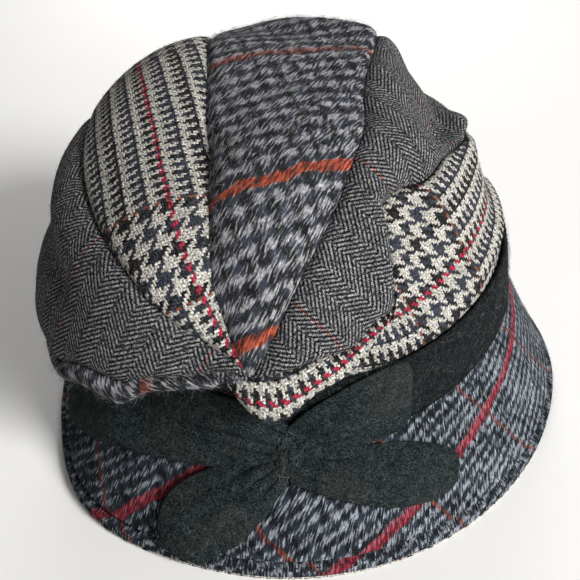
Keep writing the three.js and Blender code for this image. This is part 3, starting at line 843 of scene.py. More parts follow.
nap, given, result = new_group(
    "wool nap",
    [("Place", VECTOR, None), ("Colour", COLOUR, (0, 0, 0, 1)), ("Fibre", COLOUR, (1, 1, 1, 1)),
     ("Amount", FLOAT, 0.5), ("Mottle", FLOAT, 0.4)],
    [("Colour", COLOUR), ("Height", FLOAT)],
)
curls = noise_node(nap, given["Place"], CURL_SCALE, 3.0, CURL_TWIST)["Fac"]
from_middle = number(nap, "ABSOLUTE", number(nap, "MULTIPLY_ADD", curls, 2.0, -1.0))
ridge = number(nap, "SUBTRACT", 1.0, from_middle)
lines = number(nap, "POWER", ridge, LINE_THINNESS)
tufts = noise_node(nap, given["Place"], TUFT_SCALE, 4.0)["Fac"]
gathered = number(nap, "MULTIPLY", lines, number(nap, "MULTIPLY", tufts, TUFT_GAIN))
cover = number(nap, "MINIMUM", number(nap, "MULTIPLY", gathered, given["Amount"]), 1.0)
patchy = number(nap, "MULTIPLY_ADD", number(nap, "SUBTRACT", tufts, 0.5), given["Mottle"], 1.0)
mottled = mixed(nap, 1.0, given["Colour"], patchy, "MULTIPLY")
feed(nap, result["Colour"], mixed(nap, cover, mottled, given["Fibre"]))
feed(nap, result["Height"], number(nap, "MULTIPLY_ADD", gathered, LINE_RELIEF, tufts))
print("group", nap.name, "with", len(nap.nodes), "nodes")

# %% [markdown]
# Every cloth is one material with the same rough, dull shader, since wool has hardly any
# gloss. What differs is its yarns. Here the shader is set up once: a colour and a height
# go in, and the height becomes a fine bump.

# %% Start of a cloth material
ROUGH = 0.95
FAINT_GLOSS = 0.06
BUMP_STRENGTH = 0.8


def cloth_material(name):
    material = bpy.data.materials.new(name)
    material.use_nodes = True
    shader = material.node_tree.nodes["Principled BSDF"]
    shader.inputs["Roughness"].default_value = ROUGH
    shader.inputs["Specular IOR Level"].default_value = FAINT_GLOSS
    return material, material.node_tree, shader


def finish_cloth(tree, shader, colour, height, depth):
    bump = tree.nodes.new("ShaderNodeBump")
    bump.inputs["Distance"].default_value = depth
    bump.inputs["Strength"].default_value = BUMP_STRENGTH
    feed(tree, bump.inputs["Height"], height)
    feed(tree, shader.inputs["Normal"], bump.outputs["Normal"])
    feed(tree, shader.inputs["Base Color"], colour)


def flat_cloth(tree):
    node = tree.nodes.new("ShaderNodeUVMap")
    node.uv_map = "cloth"
    return node.outputs["UV"]


def object_place(tree):
    return tree.nodes.new("ShaderNodeTexCoord").outputs["Object"]


def rgb(red, green, blue):
    return (red, green, blue, 1.0)


print("wool has a roughness of", ROUGH, "and a gloss of", FAINT_GLOSS)

# %% [markdown]
# Herringbone is a twill that turns back every fifteen yarns. The warp is grey and the weft
# nearly black, so each float shows as a short slanting line, and a single red yarn runs
# through now and then. Specks break up the yarns, because tweed is spun from mixed wool.

# %% Herringbone tweed
herringbone, tree, shader = cloth_material("woven_herringbone_tweed")
cloth = flat_cloth(tree)
weave = placed_group(tree, twill, Cloth=cloth, Yarn=0.00052, Wander=0.00055, Turn=15.0)
warp = placed_group(tree, yarns, Number=weave["Warp Number"], Dark=rgb(0.20, 0.20, 0.205),
                    Second_Dark=rgb(0.165, 0.17, 0.185), Light=rgb(0.215, 0.21, 0.205),
                    Stripe=rgb(0.34, 0.07, 0.055), Stripe_Every=112.0, Stripe_Start=4.0,
                    Stripe_Width=1.0)
weft = placed_group(tree, yarns, Number=weave["Weft Number"], Dark=rgb(0.008, 0.0085, 0.009),
                    Second_Dark=rgb(0.007, 0.0075, 0.008), Light=rgb(0.010, 0.010, 0.011),
                    Stripe_Width=0.0)
woven = mixed(tree, weave["Warp Over"], weft["Colour"], warp["Colour"])
specks = soft_step(tree, noise_node(tree, cloth, 1100.0, 4.0)["Fac"], 0.34, 0.68)
speckled = mixed(tree, 1.0, woven, number(tree, "MULTIPLY_ADD", specks, 1.75, 0.05), "MULTIPLY")
napped = placed_group(tree, nap, Place=cloth, Colour=speckled, Fibre=rgb(0.085, 0.085, 0.09),
                      Amount=0.45, Mottle=1.0)
finish_cloth(tree, shader, napped["Colour"], weave["Height"], 0.00025)
print("material", herringbone.name)

# %% [markdown]
# A glen check needs only dark and cream yarns in a plain twill. Four dark and four light,
# both ways, weave into broken checks, and two and two across the same weft weave into
# narrow lines. Brown yarns edge the coarse block in the warp, and two red yarns mark the weft.

# %% Glen check tweed
BLACK_YARN = rgb(0.008, 0.008, 0.009)
NAVY_YARN = rgb(0.024, 0.029, 0.042)
CREAM_YARN = rgb(0.42, 0.40, 0.36)
BROWN_YARN = rgb(0.20, 0.055, 0.03)

glen_check, tree, shader = cloth_material("woven_glen_check_tweed")
cloth = flat_cloth(tree)
weave = placed_group(tree, twill, Cloth=cloth, Yarn=0.00103, Wander=0.0011)
warp = placed_group(tree, yarns, Number=weave["Warp Number"], Fine_Band=2.0, Dark=BLACK_YARN,
                    Second_Dark=NAVY_YARN, Light=CREAM_YARN, Stripe=BROWN_YARN, Stripe_Every=120.0,
                    Stripe_Start=-1.0, Stripe_Width=1.0)
second_stripe = placed_group(tree, yarns, Number=weave["Warp Number"], Stripe_Every=120.0,
                             Stripe_Start=36.0, Stripe_Width=1.0)
warp_colour = mixed(tree, second_stripe["Stripe Mask"], warp["Colour"], BROWN_YARN)
weft = placed_group(tree, yarns, Number=weave["Weft Number"], Dark=BLACK_YARN, Second_Dark=NAVY_YARN,
                    Light=CREAM_YARN, Stripe=rgb(0.30, 0.014, 0.04), Stripe_Every=160.0,
                    Stripe_Start=0.0, Stripe_Width=2.0)
woven = mixed(tree, weave["Warp Over"], weft["Colour"], warp_colour)
specks = soft_step(tree, noise_node(tree, cloth, 1300.0, 4.0)["Fac"], 0.30, 0.70)
speckled = mixed(tree, 1.0, woven, number(tree, "MULTIPLY_ADD", specks, 1.5, 0.25), "MULTIPLY")
napped = placed_group(tree, nap, Place=cloth, Colour=speckled, Fibre=rgb(0.20, 0.185, 0.165),
                      Amount=0.45, Mottle=0.8)
finish_cloth(tree, shader, napped["Colour"], weave["Height"], 0.0004)
print("material", glen_check.name)

# %% [markdown]
# The crown's brushed plaid is pale strokes over a dark, bluish ground, with wide orange
# stripes far apart. The stripes are soft bands across the flat cloth, placed where they
# cross the gores, and one of them has faded.

# %% Brushed plaid of the crown
CROWN_STRIPES_EVERY = 0.4
WIDE_STRIPE = 0.0044

brushed_plaid, tree, shader = cloth_material("woven_brushed_plaid")
cloth = flat_cloth(tree)
brushed = placed_group(tree, flecks, Cloth=cloth, Repeat=0.0076, Stroke=0.0008, Cover=-0.02)
ground = mixed(tree, brushed["Second"], rgb(0.010, 0.011, 0.011), rgb(0.030, 0.034, 0.050))
flecked = mixed(tree, brushed["Light"], ground, rgb(0.47, 0.465, 0.48))
orange = mixed(tree, brushed["Strokes"], rgb(0.05, 0.015, 0.012), rgb(0.46, 0.085, 0.04))
low_stripe, middle_stripe, top_stripe = (
    stripe_mask(tree, brushed["Across"], CROWN_STRIPES_EVERY, middle, WIDE_STRIPE)
    for middle in (-0.050, 0.002, 0.076)
)
faded_stripe = number(tree, "MULTIPLY", top_stripe, 0.5)
in_stripe = number(tree, "MAXIMUM", faded_stripe, number(tree, "MAXIMUM", low_stripe, middle_stripe))
striped = mixed(tree, in_stripe, flecked, orange)
napped = placed_group(tree, nap, Place=cloth, Colour=striped, Fibre=rgb(0.11, 0.115, 0.125),
                      Amount=0.45, Mottle=1.1)
finish_cloth(tree, shader, napped["Colour"], napped["Height"], 0.0006)
print("material", brushed_plaid.name)

# %% [markdown]
# The brim's plaid is darker and finer. Its strokes gather into cloudy bands, red stripes
# cross it, and thin orange lines run the other way. It uses the same group of flecks with
# a smaller repeat, and the cover of the strokes rises and falls along the cloth.

# %% Brushed plaid of the brim
BRIM_REPEAT = 0.063
BRIM_PHASE = -1.25

brim_plaid, tree, shader = cloth_material("woven_brim_plaid")
cloth = flat_cloth(tree)
split = tree.nodes.new("ShaderNodeSeparateXYZ")
feed(tree, split.inputs[0], cloth)
wave = number(tree, "SINE", number(
    tree, "MULTIPLY_ADD", split.outputs[1], 2 * math.pi / (3 * BRIM_REPEAT), BRIM_PHASE))
uneven = number(tree, "MULTIPLY_ADD", noise_node(tree, cloth, 70.0)["Fac"], 1.3, -0.80)
brushed = placed_group(tree, flecks, Cloth=cloth, Repeat=0.0046, Stroke=0.0007,
                       Cover=number(tree, "MULTIPLY_ADD", wave, 0.15, uneven), Crossing=0.2)
ground = mixed(tree, brushed["Second"], rgb(0.005, 0.007, 0.009), rgb(0.018, 0.024, 0.034))
flecked = mixed(tree, brushed["Light"], ground, rgb(0.37, 0.40, 0.44))
thin_stripe = stripe_mask(tree, brushed["Along"], 0.046, -0.006, 0.0016)
thin_share = number(tree, "MULTIPLY", thin_stripe, number(tree, "MULTIPLY", brushed["Strokes"], 0.7))
thinly_striped = mixed(tree, thin_share, flecked, rgb(0.28, 0.06, 0.035))
red = mixed(tree, brushed["Strokes"], rgb(0.055, 0.007, 0.012), rgb(0.38, 0.024, 0.042))
left_stripe, right_stripe = (
    stripe_mask(tree, brushed["Across"], 3 * BRIM_REPEAT, middle, WIDE_STRIPE) for middle in (0.002, 0.0665)
)
red_share = number(tree, "MULTIPLY", number(tree, "MAXIMUM", left_stripe, right_stripe), 0.78)
striped = mixed(tree, red_share, thinly_striped, red)
napped = placed_group(tree, nap, Place=cloth, Colour=striped, Fibre=rgb(0.08, 0.09, 0.105),
                      Amount=0.5, Mottle=0.9)
finish_cloth(tree, shader, napped["Colour"], napped["Height"], 0.0006)
print("material", brim_plaid.name)

# %% [markdown]
# The band and the bow are brushed black wool without a pattern. Their colour is a dark
# green-black with cloudy worn places, and nearly all the rest is nap. The band gets a darker
# copy of the same wool, which is painted shade for the shadow under the crown's overhang.
# With no weave to follow, the nap reads the object's own place.

# %% Brushed black wool
def black_wool(name, colour, worn, fibre):
    material, tree, shader = cloth_material(name)
    clouds = soft_step(tree, noise_node(tree, object_place(tree), 40.0, 2.0)["Fac"], 0.40, 0.66)
    napped = placed_group(tree, nap, Place=scaled(tree, object_place(tree), 1.3),
                          Colour=mixed(tree, clouds, colour, worn), Fibre=fibre, Amount=1.0, Mottle=0.9)
    finish_cloth(tree, shader, napped["Colour"], napped["Height"], 0.0004)
    return material


bow_wool = black_wool("woven_bow_wool", rgb(0.0042, 0.0092, 0.0097), rgb(0.0112, 0.0132, 0.0132),
                      rgb(0.105, 0.120, 0.118))
# The band's copy is darker than the bow's: painted shade for the shadow under the crown's overhang.
painted_shade_band_wool = black_wool("woven_painted_shade_band_wool", rgb(0.0026, 0.0036, 0.0042), rgb(0.0052, 0.0060, 0.0064),
                       rgb(0.058, 0.063, 0.065))
print("materials", bow_wool.name, painted_shade_band_wool.name)

# %% [markdown]
# Now the gores are made and flattened. For each gore the table gives a line on it, the
# angle of that line from the weft, and where on the cloth the line starts, so a stripe can
# be laid where it belongs. Each gore is a sheet gathered into the crown, so its flat size
# is what the flattening measured.

# %% Gores
GORE_CLOTH = 1.5
GORE_FINISH = {
    # material, slot, azimuth and level at a line's start and end, its angle from the weft, its start in mm
    "gore_herringbone_left": (herringbone, "herringbone_tweed", (-20, 0.42), (-60, 0.36), 0, (35, 0)),
    "gore_glen_left": (glen_check, "glen_check_tweed", (-8.0, 0.59), (-30, 0.742), 0, (7, 0.8)),
    "gore_plaid_centre": (brushed_plaid, "brushed_plaid", (-12.9, 0.722), (31.8, 0.753), 0, (0, 2)),
    "gore_herringbone_right": (
        herringbone, "herringbone_tweed", (14.4, 0.46), (22.2, 0.357), 90, (2.2, 0)),
    "gore_glen_right": (glen_check, "glen_check_tweed", (39.1, 0.197), (85.5, 0.206), -7, (-5, -0.7)),
    "gore_plaid_front": (brushed_plaid, "brushed_plaid", (-56, 0.20), (-20, 0.24), 143, (0, 21.5)),
}


def crown_spot(azimuth, level):
    return crown(np.radians([azimuth]), np.array([level]))[0]


gore_pieces = {}
for name, rows in GORES.items():
    material, slot, start, end, heading, offset = GORE_FINISH[name]
    piece = cloth_grid("cloth_" + name, rows, GORE_CLOTH)
    piece.data.materials.append(material)
    width, length, area = flatten(piece, crown_spot(*start), crown_spot(*end), offset, heading)
    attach(piece, "root")
    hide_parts(name)
    gore_pieces[name] = piece
    print(name, "cut", round(width * 1000), "x", round(length * 1000), "mm", round(area * 1e4), "cm2")

# %% [markdown]
# The band is a soft strip of brushed black wool round the foot of the crown, and the brim
# slopes from it to the rim. Both could be lofted as surfaces, but they are drawn as rings
# of rows, cut open at the back where such rings have their seam, so that they can be laid
# flat. The brim's face rolls over the rim, and a groove runs inside its edge, where it is
# stitched to the facing below.

# %% Shapes of the band and the brim
LAID_GAP = 0.4
BAND_CLOTH = 2.0
BAND_LEVELS = (0.0, 0.114)
BAND_PUFF = 0.9
BAND_FLARE = 1.4
BRIM_CLOTH = 3.0
BRIM_LEDGE = 3.2
BRIM_SWELL = 2.5
BRIM_TUCK = 2.0
RIM_EDGE = 3.2
RIM_FLAT = 4.5
RIM_REACH = (132, 116, 109, 116)
RIM_BULGE = 6.0
BULGE_AZIMUTH = -26.0
BULGE_WIDTH = 17.0
GROOVE_INSET = 3.2
GROOVE_DEPTH = 3.3
GROOVE_WIDTH = 0.7
WELT_PUFF = 0.9
ROUND_STEPS = 240

ring_azimuths = np.linspace(-math.pi, math.pi, ROUND_STEPS + 1)


def pushed_out(points, distance):
    flat = points * (1, 1, 0)
    return points + flat / np.linalg.norm(flat, axis=-1, keepdims=True) * np.asarray(distance)[..., None]


def band_face(azimuth, share):
    azimuth, share = (np.ravel(a) for a in np.broadcast_arrays(azimuth, share))
    level = BAND_LEVELS[0] + (BAND_LEVELS[1] - BAND_LEVELS[0]) * share
    return pushed_out(plain_crown(azimuth, level), np.full(level.shape, LAID_GAP + BAND_CLOTH))


def brim_face(azimuth, share):
    azimuth, share = (np.ravel(a) for a in np.broadcast_arrays(azimuth, share))
    start = oval_reach(CROWN_SECTIONS[0][2:6], azimuth) + BRIM_LEDGE
    from_bulge = (np.degrees(azimuth) - BULGE_AZIMUTH) / BULGE_WIDTH
    rim = oval_reach(RIM_REACH, azimuth) + RIM_BULGE * np.exp(-(from_bulge**2))
    top = oval_height(CROWN_SECTIONS[0][6:10], azimuth) - LAID_GAP
    swell = BRIM_SWELL * np.sin(math.pi * share) * np.cos(azimuth)
    reach = start + (rim - start) * share + swell
    return polar(reach, azimuth, top + (RIM_EDGE - top) * share + swell / 2)


def ring_rows(shares, face):
    return np.stack([face(ring_azimuths, np.full(ring_azimuths.shape, s)) for s in shares])


print("rings of", ROUND_STEPS, "steps, rim reaches", RIM_REACH, "mm")

# %% Band
BAND_ROWS = 15
BAND_MIDDLE = 7
BAND_QUARTER = 60
BAND_SWELL = 0.5
FLARE_SHARE = 0.15
BAND_SLACK = 0.3

band_shares = np.linspace(0, 1, BAND_ROWS)
band_rows = ring_rows(band_shares, band_face)
swells = np.array([swell_at(p) for p in band_rows.reshape(-1, 3)]).reshape(band_rows.shape[:2])
fullness = np.sin(math.pi * band_shares)[:, None] ** 0.6
flare = BAND_FLARE * np.exp(-band_shares / FLARE_SHARE)[:, None]
band_rows = pushed_out(band_rows, (BAND_PUFF + BAND_SWELL * swells) * fullness + flare)
band = cloth_grid("cloth_headband", band_rows[::-1], BAND_CLOTH - BAND_SLACK)
band.data.materials.append(painted_shade_band_wool)
middle_line = band_rows[BAND_MIDDLE]
band_width, band_length, band_area = flatten(band, middle_line[0], middle_line[BAND_QUARTER], (0, 0))
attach(band, "root")
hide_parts("headband")
print("band cut", round(band_width * 1000), "x", round(band_length * 1000), "mm")

# %% [markdown]
# The brim is one ring of plaid. Its rows are crowded near the rim, where the groove and
# the round welt need them, and one more row at the top is tucked under the band, so that
# no gap shows there. Spinning a profile would make a round brim, but this one is oval and
# has a bulge. Real cloth is steamed to lie round a brim, so its stripes bend. The same bend
# is given to the flat map.

# %% Slope of the brim
BRIM_SHEET = 1.2
SLOPE_SWELL = 0.6
SLOPE_SWELL_SCALE = 0.8
SLOPE_SHARES = np.concatenate([np.linspace(0, 0.84, 32), np.linspace(0.85, 1, 26)])
RIM_ROLL = ((-0.5, 2.3), (-0.4, 1.5), (0.6, 1.1))


def sloped(share_rows):
    """Points down the brim's slope with the groove near the rim, as rows."""
    rows = ring_rows(share_rows, brim_face)
    rim = rows[-1]
    to_rim = np.linalg.norm(rows - rim, axis=2)
    near = np.exp(-(((to_rim - GROOVE_INSET) / GROOVE_WIDTH) ** 2))
    welt = np.exp(-(((to_rim - GROOVE_INSET / 2) / GROOVE_WIDTH) ** 2))
    swells = np.array([swell_at(p * SLOPE_SWELL_SCALE) for p in rows.reshape(-1, 3)]).reshape(near.shape)
    fade = np.sin(math.pi * np.asarray(share_rows))[:, None]
    return pushed_out(rows, SLOPE_SWELL * swells * fade + WELT_PUFF * welt - GROOVE_DEPTH * near), rim


def rim_ring(inward, height):
    line = pushed_out(rim_line, np.full(len(rim_line), -inward))
    line[:, 2] = height
    return line


slope_rows, rim_line = sloped(SLOPE_SHARES)
roll = [rim_ring(inward, height) for inward, height in RIM_ROLL]
tucked = pushed_out(slope_rows[:1], np.full((1, len(ring_azimuths)), -BRIM_TUCK))
brim_rows = np.concatenate([tucked, slope_rows, np.stack(roll)])
brim = cloth_grid("cloth_brim", brim_rows, BRIM_SHEET)
brim.data.materials.append(brim_plaid)
print("brim rows", len(brim_rows))

# %% Stripes round the brim
EASE_START = 0.010
EASE_RATE = 6.4
EASE_LIMIT = 0.114
WARP_LEAN = 0.36
LEAN_SPAN = 0.045
LEAN_CENTRE = 0.080
STRIPE_TOP = (-7, 14.5)
STRIPE_FOOT = (-19.5, 44)
STRIPE_PLACE = (0, 2.0)


def brim_spot(azimuth, down):
    """A point on the brim's face, down millimetres below the band."""
    a = np.array([math.radians(azimuth)])
    top, rim = brim_face(a, np.array([0.0]))[0], brim_face(a, np.array([1.0]))[0]
    return brim_face(a, np.array([down / np.linalg.norm(top - rim)]))[0]


def ease_grain(piece):
    """Bends the stripes of the flat cloth, as steaming it round the brim does."""
    data = piece.data.uv_layers["cloth"].data
    flat = np.zeros(len(data) * 2)
    data.foreach_get("uv", flat)
    u, v = flat.reshape(-1, 2).T
    run = np.maximum(EASE_START - u, 0)
    bent = np.minimum(run, EASE_LIMIT)
    eased = EASE_RATE * (bent**2 / 2 + EASE_LIMIT * (run - bent))
    lean = WARP_LEAN * smoothstep(-u, 0.0, LEAN_SPAN) * (v - LEAN_CENTRE)
    data.foreach_set("uv", np.stack([u - lean, v - eased], axis=1).ravel())


brim_width, brim_length, brim_area = flatten(
    brim, brim_spot(*STRIPE_TOP), brim_spot(*STRIPE_FOOT), STRIPE_PLACE)
ease_grain(brim)
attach(brim, "root")
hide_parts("brim")
print("brim cut", round(brim_width * 1000), "x", round(brim_length * 1000), "mm")

# %% [markdown]
# Under the brim lies a facing of the check tweed. Its turned edge shows as a thin line
# below the rim, and the hat stands on it. A thicker brim could stand in for it, but a sheet
# of its own has its own cloth, and gives the hat a finished underside.

# %% Facing under the brim
FACING_CLOTH = 0.9
FACING_SHARES = np.linspace(0.84, 0.06, 20)
FACING_EDGE = ((0.9, 1.15), (-0.2, 1.0), (-0.45, 0.5), (0.3, 0.0), (RIM_FLAT, 0.0))
GRAIN_ENDS = (100, 130)
GRAIN_PLACE = (0, 1.0)

under_rows = []
for share in FACING_SHARES:
    line = pushed_out(brim_face(ring_azimuths, np.full(ring_azimuths.shape, share)),
                      np.full(ring_azimuths.shape, -BRIM_CLOTH))
    line[:, 2] -= BRIM_CLOTH / 2
    under_rows.append(line)
edge_rows = [rim_ring(inward, height) for inward, height in FACING_EDGE]
facing_rows = np.stack(edge_rows + under_rows)
facing = cloth_grid("cloth_brim_facing", facing_rows, FACING_CLOTH)
facing.data.materials.append(glen_check)
grain_start, grain_end = edge_rows[-1][list(GRAIN_ENDS)]
facing_width, facing_length, facing_area = flatten(facing, grain_start, grain_end, GRAIN_PLACE)
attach(facing, "root")
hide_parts("brim")
print("facing cut", round(facing_width * 1000), "x", round(facing_length * 1000), "mm")

# %% [markdown]
# The bow lies flat on the band and the brim: two loops, two tails and a pinched knot, all
# of the black wool. It could be shrink-wrapped on to the hat, but here a leaf is drawn on
# the face that carries it, by its place along the band and up or down from the brim seam,
# in millimetres. The bend where the band meets the brim is averaged, as thick cloth would.

# %% Where the bow lies
BOW_AZIMUTH = 10.5
BOW_RADIUS = 102.0
BOW_BLEND = 7.0
BOW_CLOTH = 1.5
FACE_STEP = 0.5
LEAVES = {
    # along, up, half width, puff
    "bow_left_loop": [
        (-3, 2, 9, 2), (-14, 5, 14, 4), (-36, 4, 16, 3.5),
        (-60, -5, 14, 2.5), (-82, -16, 13, 1.5), (-97, -25, 10, 1), (-104, -29, 6, 0.5),
    ],
    "bow_left_tail": [
        (-3, -7, 6, 1.5), (-13, -16, 11, 2.5), (-24, -28, 13.5, 2),
        (-27, -37, 11, 1.5), (-27, -45, 6, 0.5),
    ],
    "bow_right_loop": [
        (3, 3, 7, 1.5), (13, 8, 11, 3), (27, 12, 14, 3), (40, 13.5, 15, 2.5), (48, 13.5, 12.5, 1),
    ],
    "bow_right_tail": [
        (3, -6, 6, 1.5), (12, -8.5, 7.5, 2.5), (24, -12, 9.5, 2.5),
        (38, -16.5, 11, 2), (52, -22, 9.5, 1.5), (61, -25.5, 6, 0.5),
    ],
}


def bow_ground(azimuth, up):
    foot, head = band_face(azimuth, 0.0), band_face(azimuth, 1.0)
    tall = np.linalg.norm(head - foot, axis=1)
    on_band = foot + (head - foot) * (up / tall)[:, None]
    slope = np.linalg.norm(brim_face(azimuth, 0.0) - brim_face(azimuth, 1.0), axis=1)
    on_brim = brim_face(azimuth, np.maximum(-up, 0) / slope)
    return np.where((up >= 0)[:, None], on_band, on_brim)


def bow_face(along, up):
    azimuth = math.radians(BOW_AZIMUTH) + along / BOW_RADIUS
    return np.mean([bow_ground(azimuth, up + s * BOW_BLEND) for s in (-1, -0.5, 0, 0.5, 1)], axis=0)


def lifted(along, up, height):
    across = bow_face(along + FACE_STEP, up) - bow_face(along - FACE_STEP, up)
    rising = bow_face(along, up + FACE_STEP) - bow_face(along, up - FACE_STEP)
    normal = np.cross(across, rising)
    normal /= np.linalg.norm(normal, axis=1, keepdims=True)
    return bow_face(along, up) + normal * height[:, None]


print("bow of", len(LEAVES), "leaves")

# %% [markdown]
# A leaf is doubled cloth. Its rows run from the knot to its end, its edges turn down to the
# cloth below, and creases run out from the knot, where it is gathered, and fade. The
# creases are cut into the mesh rather than into the bump, so they catch the light from
# any side.

# %% Shape of a leaf
LEAF_ROWS = 48
LEAF_COLUMNS = 28
LEAF_MIDDLE = 14
LEAF_SLACK = 0.2
LEAF_TAPER = 0.35
TAPER_START = 0.9
END_START = 0.86
LEAF_SWELL = 0.7
LEAF_SWELL_LENGTH = 12
LEAF_SWELL_SEED = 3.7
CREASE_REACH = 0.7
CREASES = ((0.24, 2.6), (0.50, 2.2), (0.74, 2.4))
CREASE_WIDTH = 0.08


def even_path(points, count):
    line, _ = smooth_path(points)
    at = np.linspace(0, len(line) - 1, count)
    index = np.arange(len(line))
    return np.stack([np.interp(at, index, line[:, k]) for k in range(line.shape[1])], axis=1)


def leaf_rows(sections):
    table = np.array(sections, float)
    axis = even_path(table[:, :2], LEAF_ROWS)
    half_width, puff = even_path(table[:, 2:], LEAF_ROWS).T
    heading = np.gradient(axis, axis=0)
    heading /= np.linalg.norm(heading, axis=1, keepdims=True)
    f = np.linspace(0, 1, LEAF_ROWS)[:, None]
    w = np.linspace(-1, 1, LEAF_COLUMNS)[None, :]
    end = 1 - LEAF_TAPER * np.clip((f - TAPER_START) / (1 - TAPER_START), 0, 1) ** 2
    aside = w * half_width[:, None] * end
    along = axis[:, :1] - heading[:, 1:] * aside
    up = axis[:, 1:] + heading[:, :1] * aside
    turned_down = np.clip((f - END_START) / (1 - END_START), 0, 1)
    edge = np.minimum(1 - np.abs(w) ** 5, 1 - turned_down**3)
    height = LAID_GAP + BOW_CLOTH + edge * (0.5 + puff[:, None] * (1 - w**2))
    for place, depth in CREASES:
        gather = np.clip(1 - f / CREASE_REACH, 0, 1) ** 1.3
        height -= depth * gather * edge * np.exp(-(((w / 2 + 0.5 - place) / CREASE_WIDTH) ** 2))
    places = np.stack([along.ravel(), up.ravel()], axis=1) / LEAF_SWELL_LENGTH
    swell = np.array([noise.noise((x, y, LEAF_SWELL_SEED)) for x, y in places])
    height += LEAF_SWELL * edge * swell.reshape(height.shape)
    height = np.maximum(height, LAID_GAP + BOW_CLOTH)
    return lifted(along.ravel(), up.ravel(), height.ravel()).reshape(height.shape + (3,))


print("creases in a leaf", len(CREASES))

# %% Leaves of the bow
leaf_pieces = []
for name, sections in LEAVES.items():
    rows = leaf_rows(sections)
    leaf = cloth_grid("cloth_" + name, rows[:, ::-1], BOW_CLOTH - LEAF_SLACK)
    leaf.data.materials.append(bow_wool)
    width, length, area = flatten(leaf, rows[0, LEAF_MIDDLE], rows[-1, LEAF_MIDDLE], (0, 0))
    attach(leaf, "root")
    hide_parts(name)
    leaf_pieces.append(leaf)
    print(name, "cut", round(width * 1000), "x", round(length * 1000), "mm")

# %% [markdown]
# The knot is a short strip wrapped round the middle of the bow. A squashed ball could stand
# in for it, but its poles would pinch the nap. A square grid drawn to a disc has no poles,
# and a cosine across it makes the pleats of its gathered cloth.

# %% Knot of the bow
KNOT = {"along": 0.0, "up": -1.0, "half_width": 9.0, "half_height": 11.0, "thickness": 3.6}
KNOT_STEPS = 30
KNOT_MIDDLE = 15
KNOT_PLEATS = 3.5
PLEAT_DEPTH = 0.6
PLEAT_LEAN = 0.8
KNOT_PINCH = 0.25

side = np.linspace(-1, 1, KNOT_STEPS)
x, y = np.meshgrid(side, side)
disc_x = x * np.sqrt(1 - y**2 / 2)
disc_y = y * np.sqrt(1 - x**2 / 2)
from_middle = np.minimum(disc_x**2 + disc_y**2, 1)
knot_height = LAID_GAP + BOW_CLOTH + KNOT["thickness"] * (1 - from_middle) ** 0.6
pleats = np.cos(KNOT_PLEATS * math.pi * disc_x + PLEAT_LEAN * disc_y)
knot_height -= PLEAT_DEPTH * (1 - from_middle) * pleats
pinch = 1 - KNOT_PINCH * (1 - disc_y**2)
knot_rows = lifted(
    (KNOT["along"] + KNOT["half_width"] * disc_x * pinch).ravel(),
    (KNOT["up"] + KNOT["half_height"] * disc_y).ravel(),
    knot_height.ravel(),
).reshape(KNOT_STEPS, KNOT_STEPS, 3)
knot = cloth_grid("cloth_bow_knot", knot_rows[:, ::-1], BOW_CLOTH - LEAF_SLACK)
knot.data.materials.append(bow_wool)
knot_ends = knot_rows[[0, -1], KNOT_MIDDLE]
knot_width, knot_length, knot_area = flatten(knot, *knot_ends, (0, 0))
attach(knot, "root")
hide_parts("bow_knot")
print("knot cut", round(knot_width * 1000), "x", round(knot_length * 1000), "mm")

# %% [markdown]
# A row of stitches lies in the groove of the brim. They could be one curve with a dashed
# paint, but real stitches stand up from the cloth, so each one is a small round bead drawn
# out along the groove, and all of them are joined into one mesh.

# %% Stitches
STITCH_EVERY = 4.2
STITCH_LONG = 1.0
STITCH_THICK = 0.26
STITCH_PROUD = 0.15
STITCH_AIM = 0.5

from_rim = np.linalg.norm(slope_rows - rim_line, axis=2).mean(axis=1)
groove = slope_rows[int(np.abs(from_rim - GROOVE_INSET).argmin())]
run = np.concatenate([[0], np.cumsum(np.linalg.norm(np.diff(groove, axis=0), axis=1))])
stitch_count = int(run[-1] / STITCH_EVERY)
bm = bmesh.new()
for place in np.linspace(0, run[-1], stitch_count, endpoint=False):
    here = np.array([np.interp(place, run, groove[:, k]) for k in range(3)])
    there = np.array([np.interp(place + STITCH_AIM, run, groove[:, k]) for k in range(3)])
    made = bmesh.ops.create_uvsphere(bm, u_segments=6, v_segments=5, radius=1)
    bmesh.ops.scale(bm, verts=made["verts"], vec=Vector((STITCH_THICK, STITCH_THICK, STITCH_LONG)) * MM)
    turn = Vector(there - here).to_track_quat("Z", "Y").to_matrix()
    bmesh.ops.rotate(bm, verts=made["verts"], matrix=turn)
    on_top = pushed_out(here[None], np.array([STITCH_PROUD]))[0]
    bmesh.ops.translate(bm, verts=made["verts"], vec=hat_place(on_top))
stitch_mesh = bpy.data.meshes.new("brim_stitches")
bm.to_mesh(stitch_mesh)
bm.free()
stitch_mesh.shade_smooth()
stitches = bpy.data.objects.new("brim_stitches", stitch_mesh)
bpy.context.collection.objects.link(stitches)
thread, tree, shader = cloth_material("stitch_thread")
twist = noise_node(tree, object_place(tree), 2500.0)["Fac"]
thread_colour = mixed(tree, twist, rgb(0.008, 0.009, 0.012), rgb(0.03, 0.033, 0.04))
finish_cloth(tree, shader, thread_colour, twist, 0.0002)
stitches.data.materials.append(thread)
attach(stitches, "root")
print("stitches", stitch_count)

# %% [markdown]
# Loose fibres stand off the wool and soften its outline. A particle system could grow
# them, but the export keeps only meshes, so each fibre is a thin bent spike of ten
# triangles, and all the fibres of one cloth are one mesh. They are spread evenly over the
# cloth, from a fixed seed, and each carries a tone, more often dark than light.

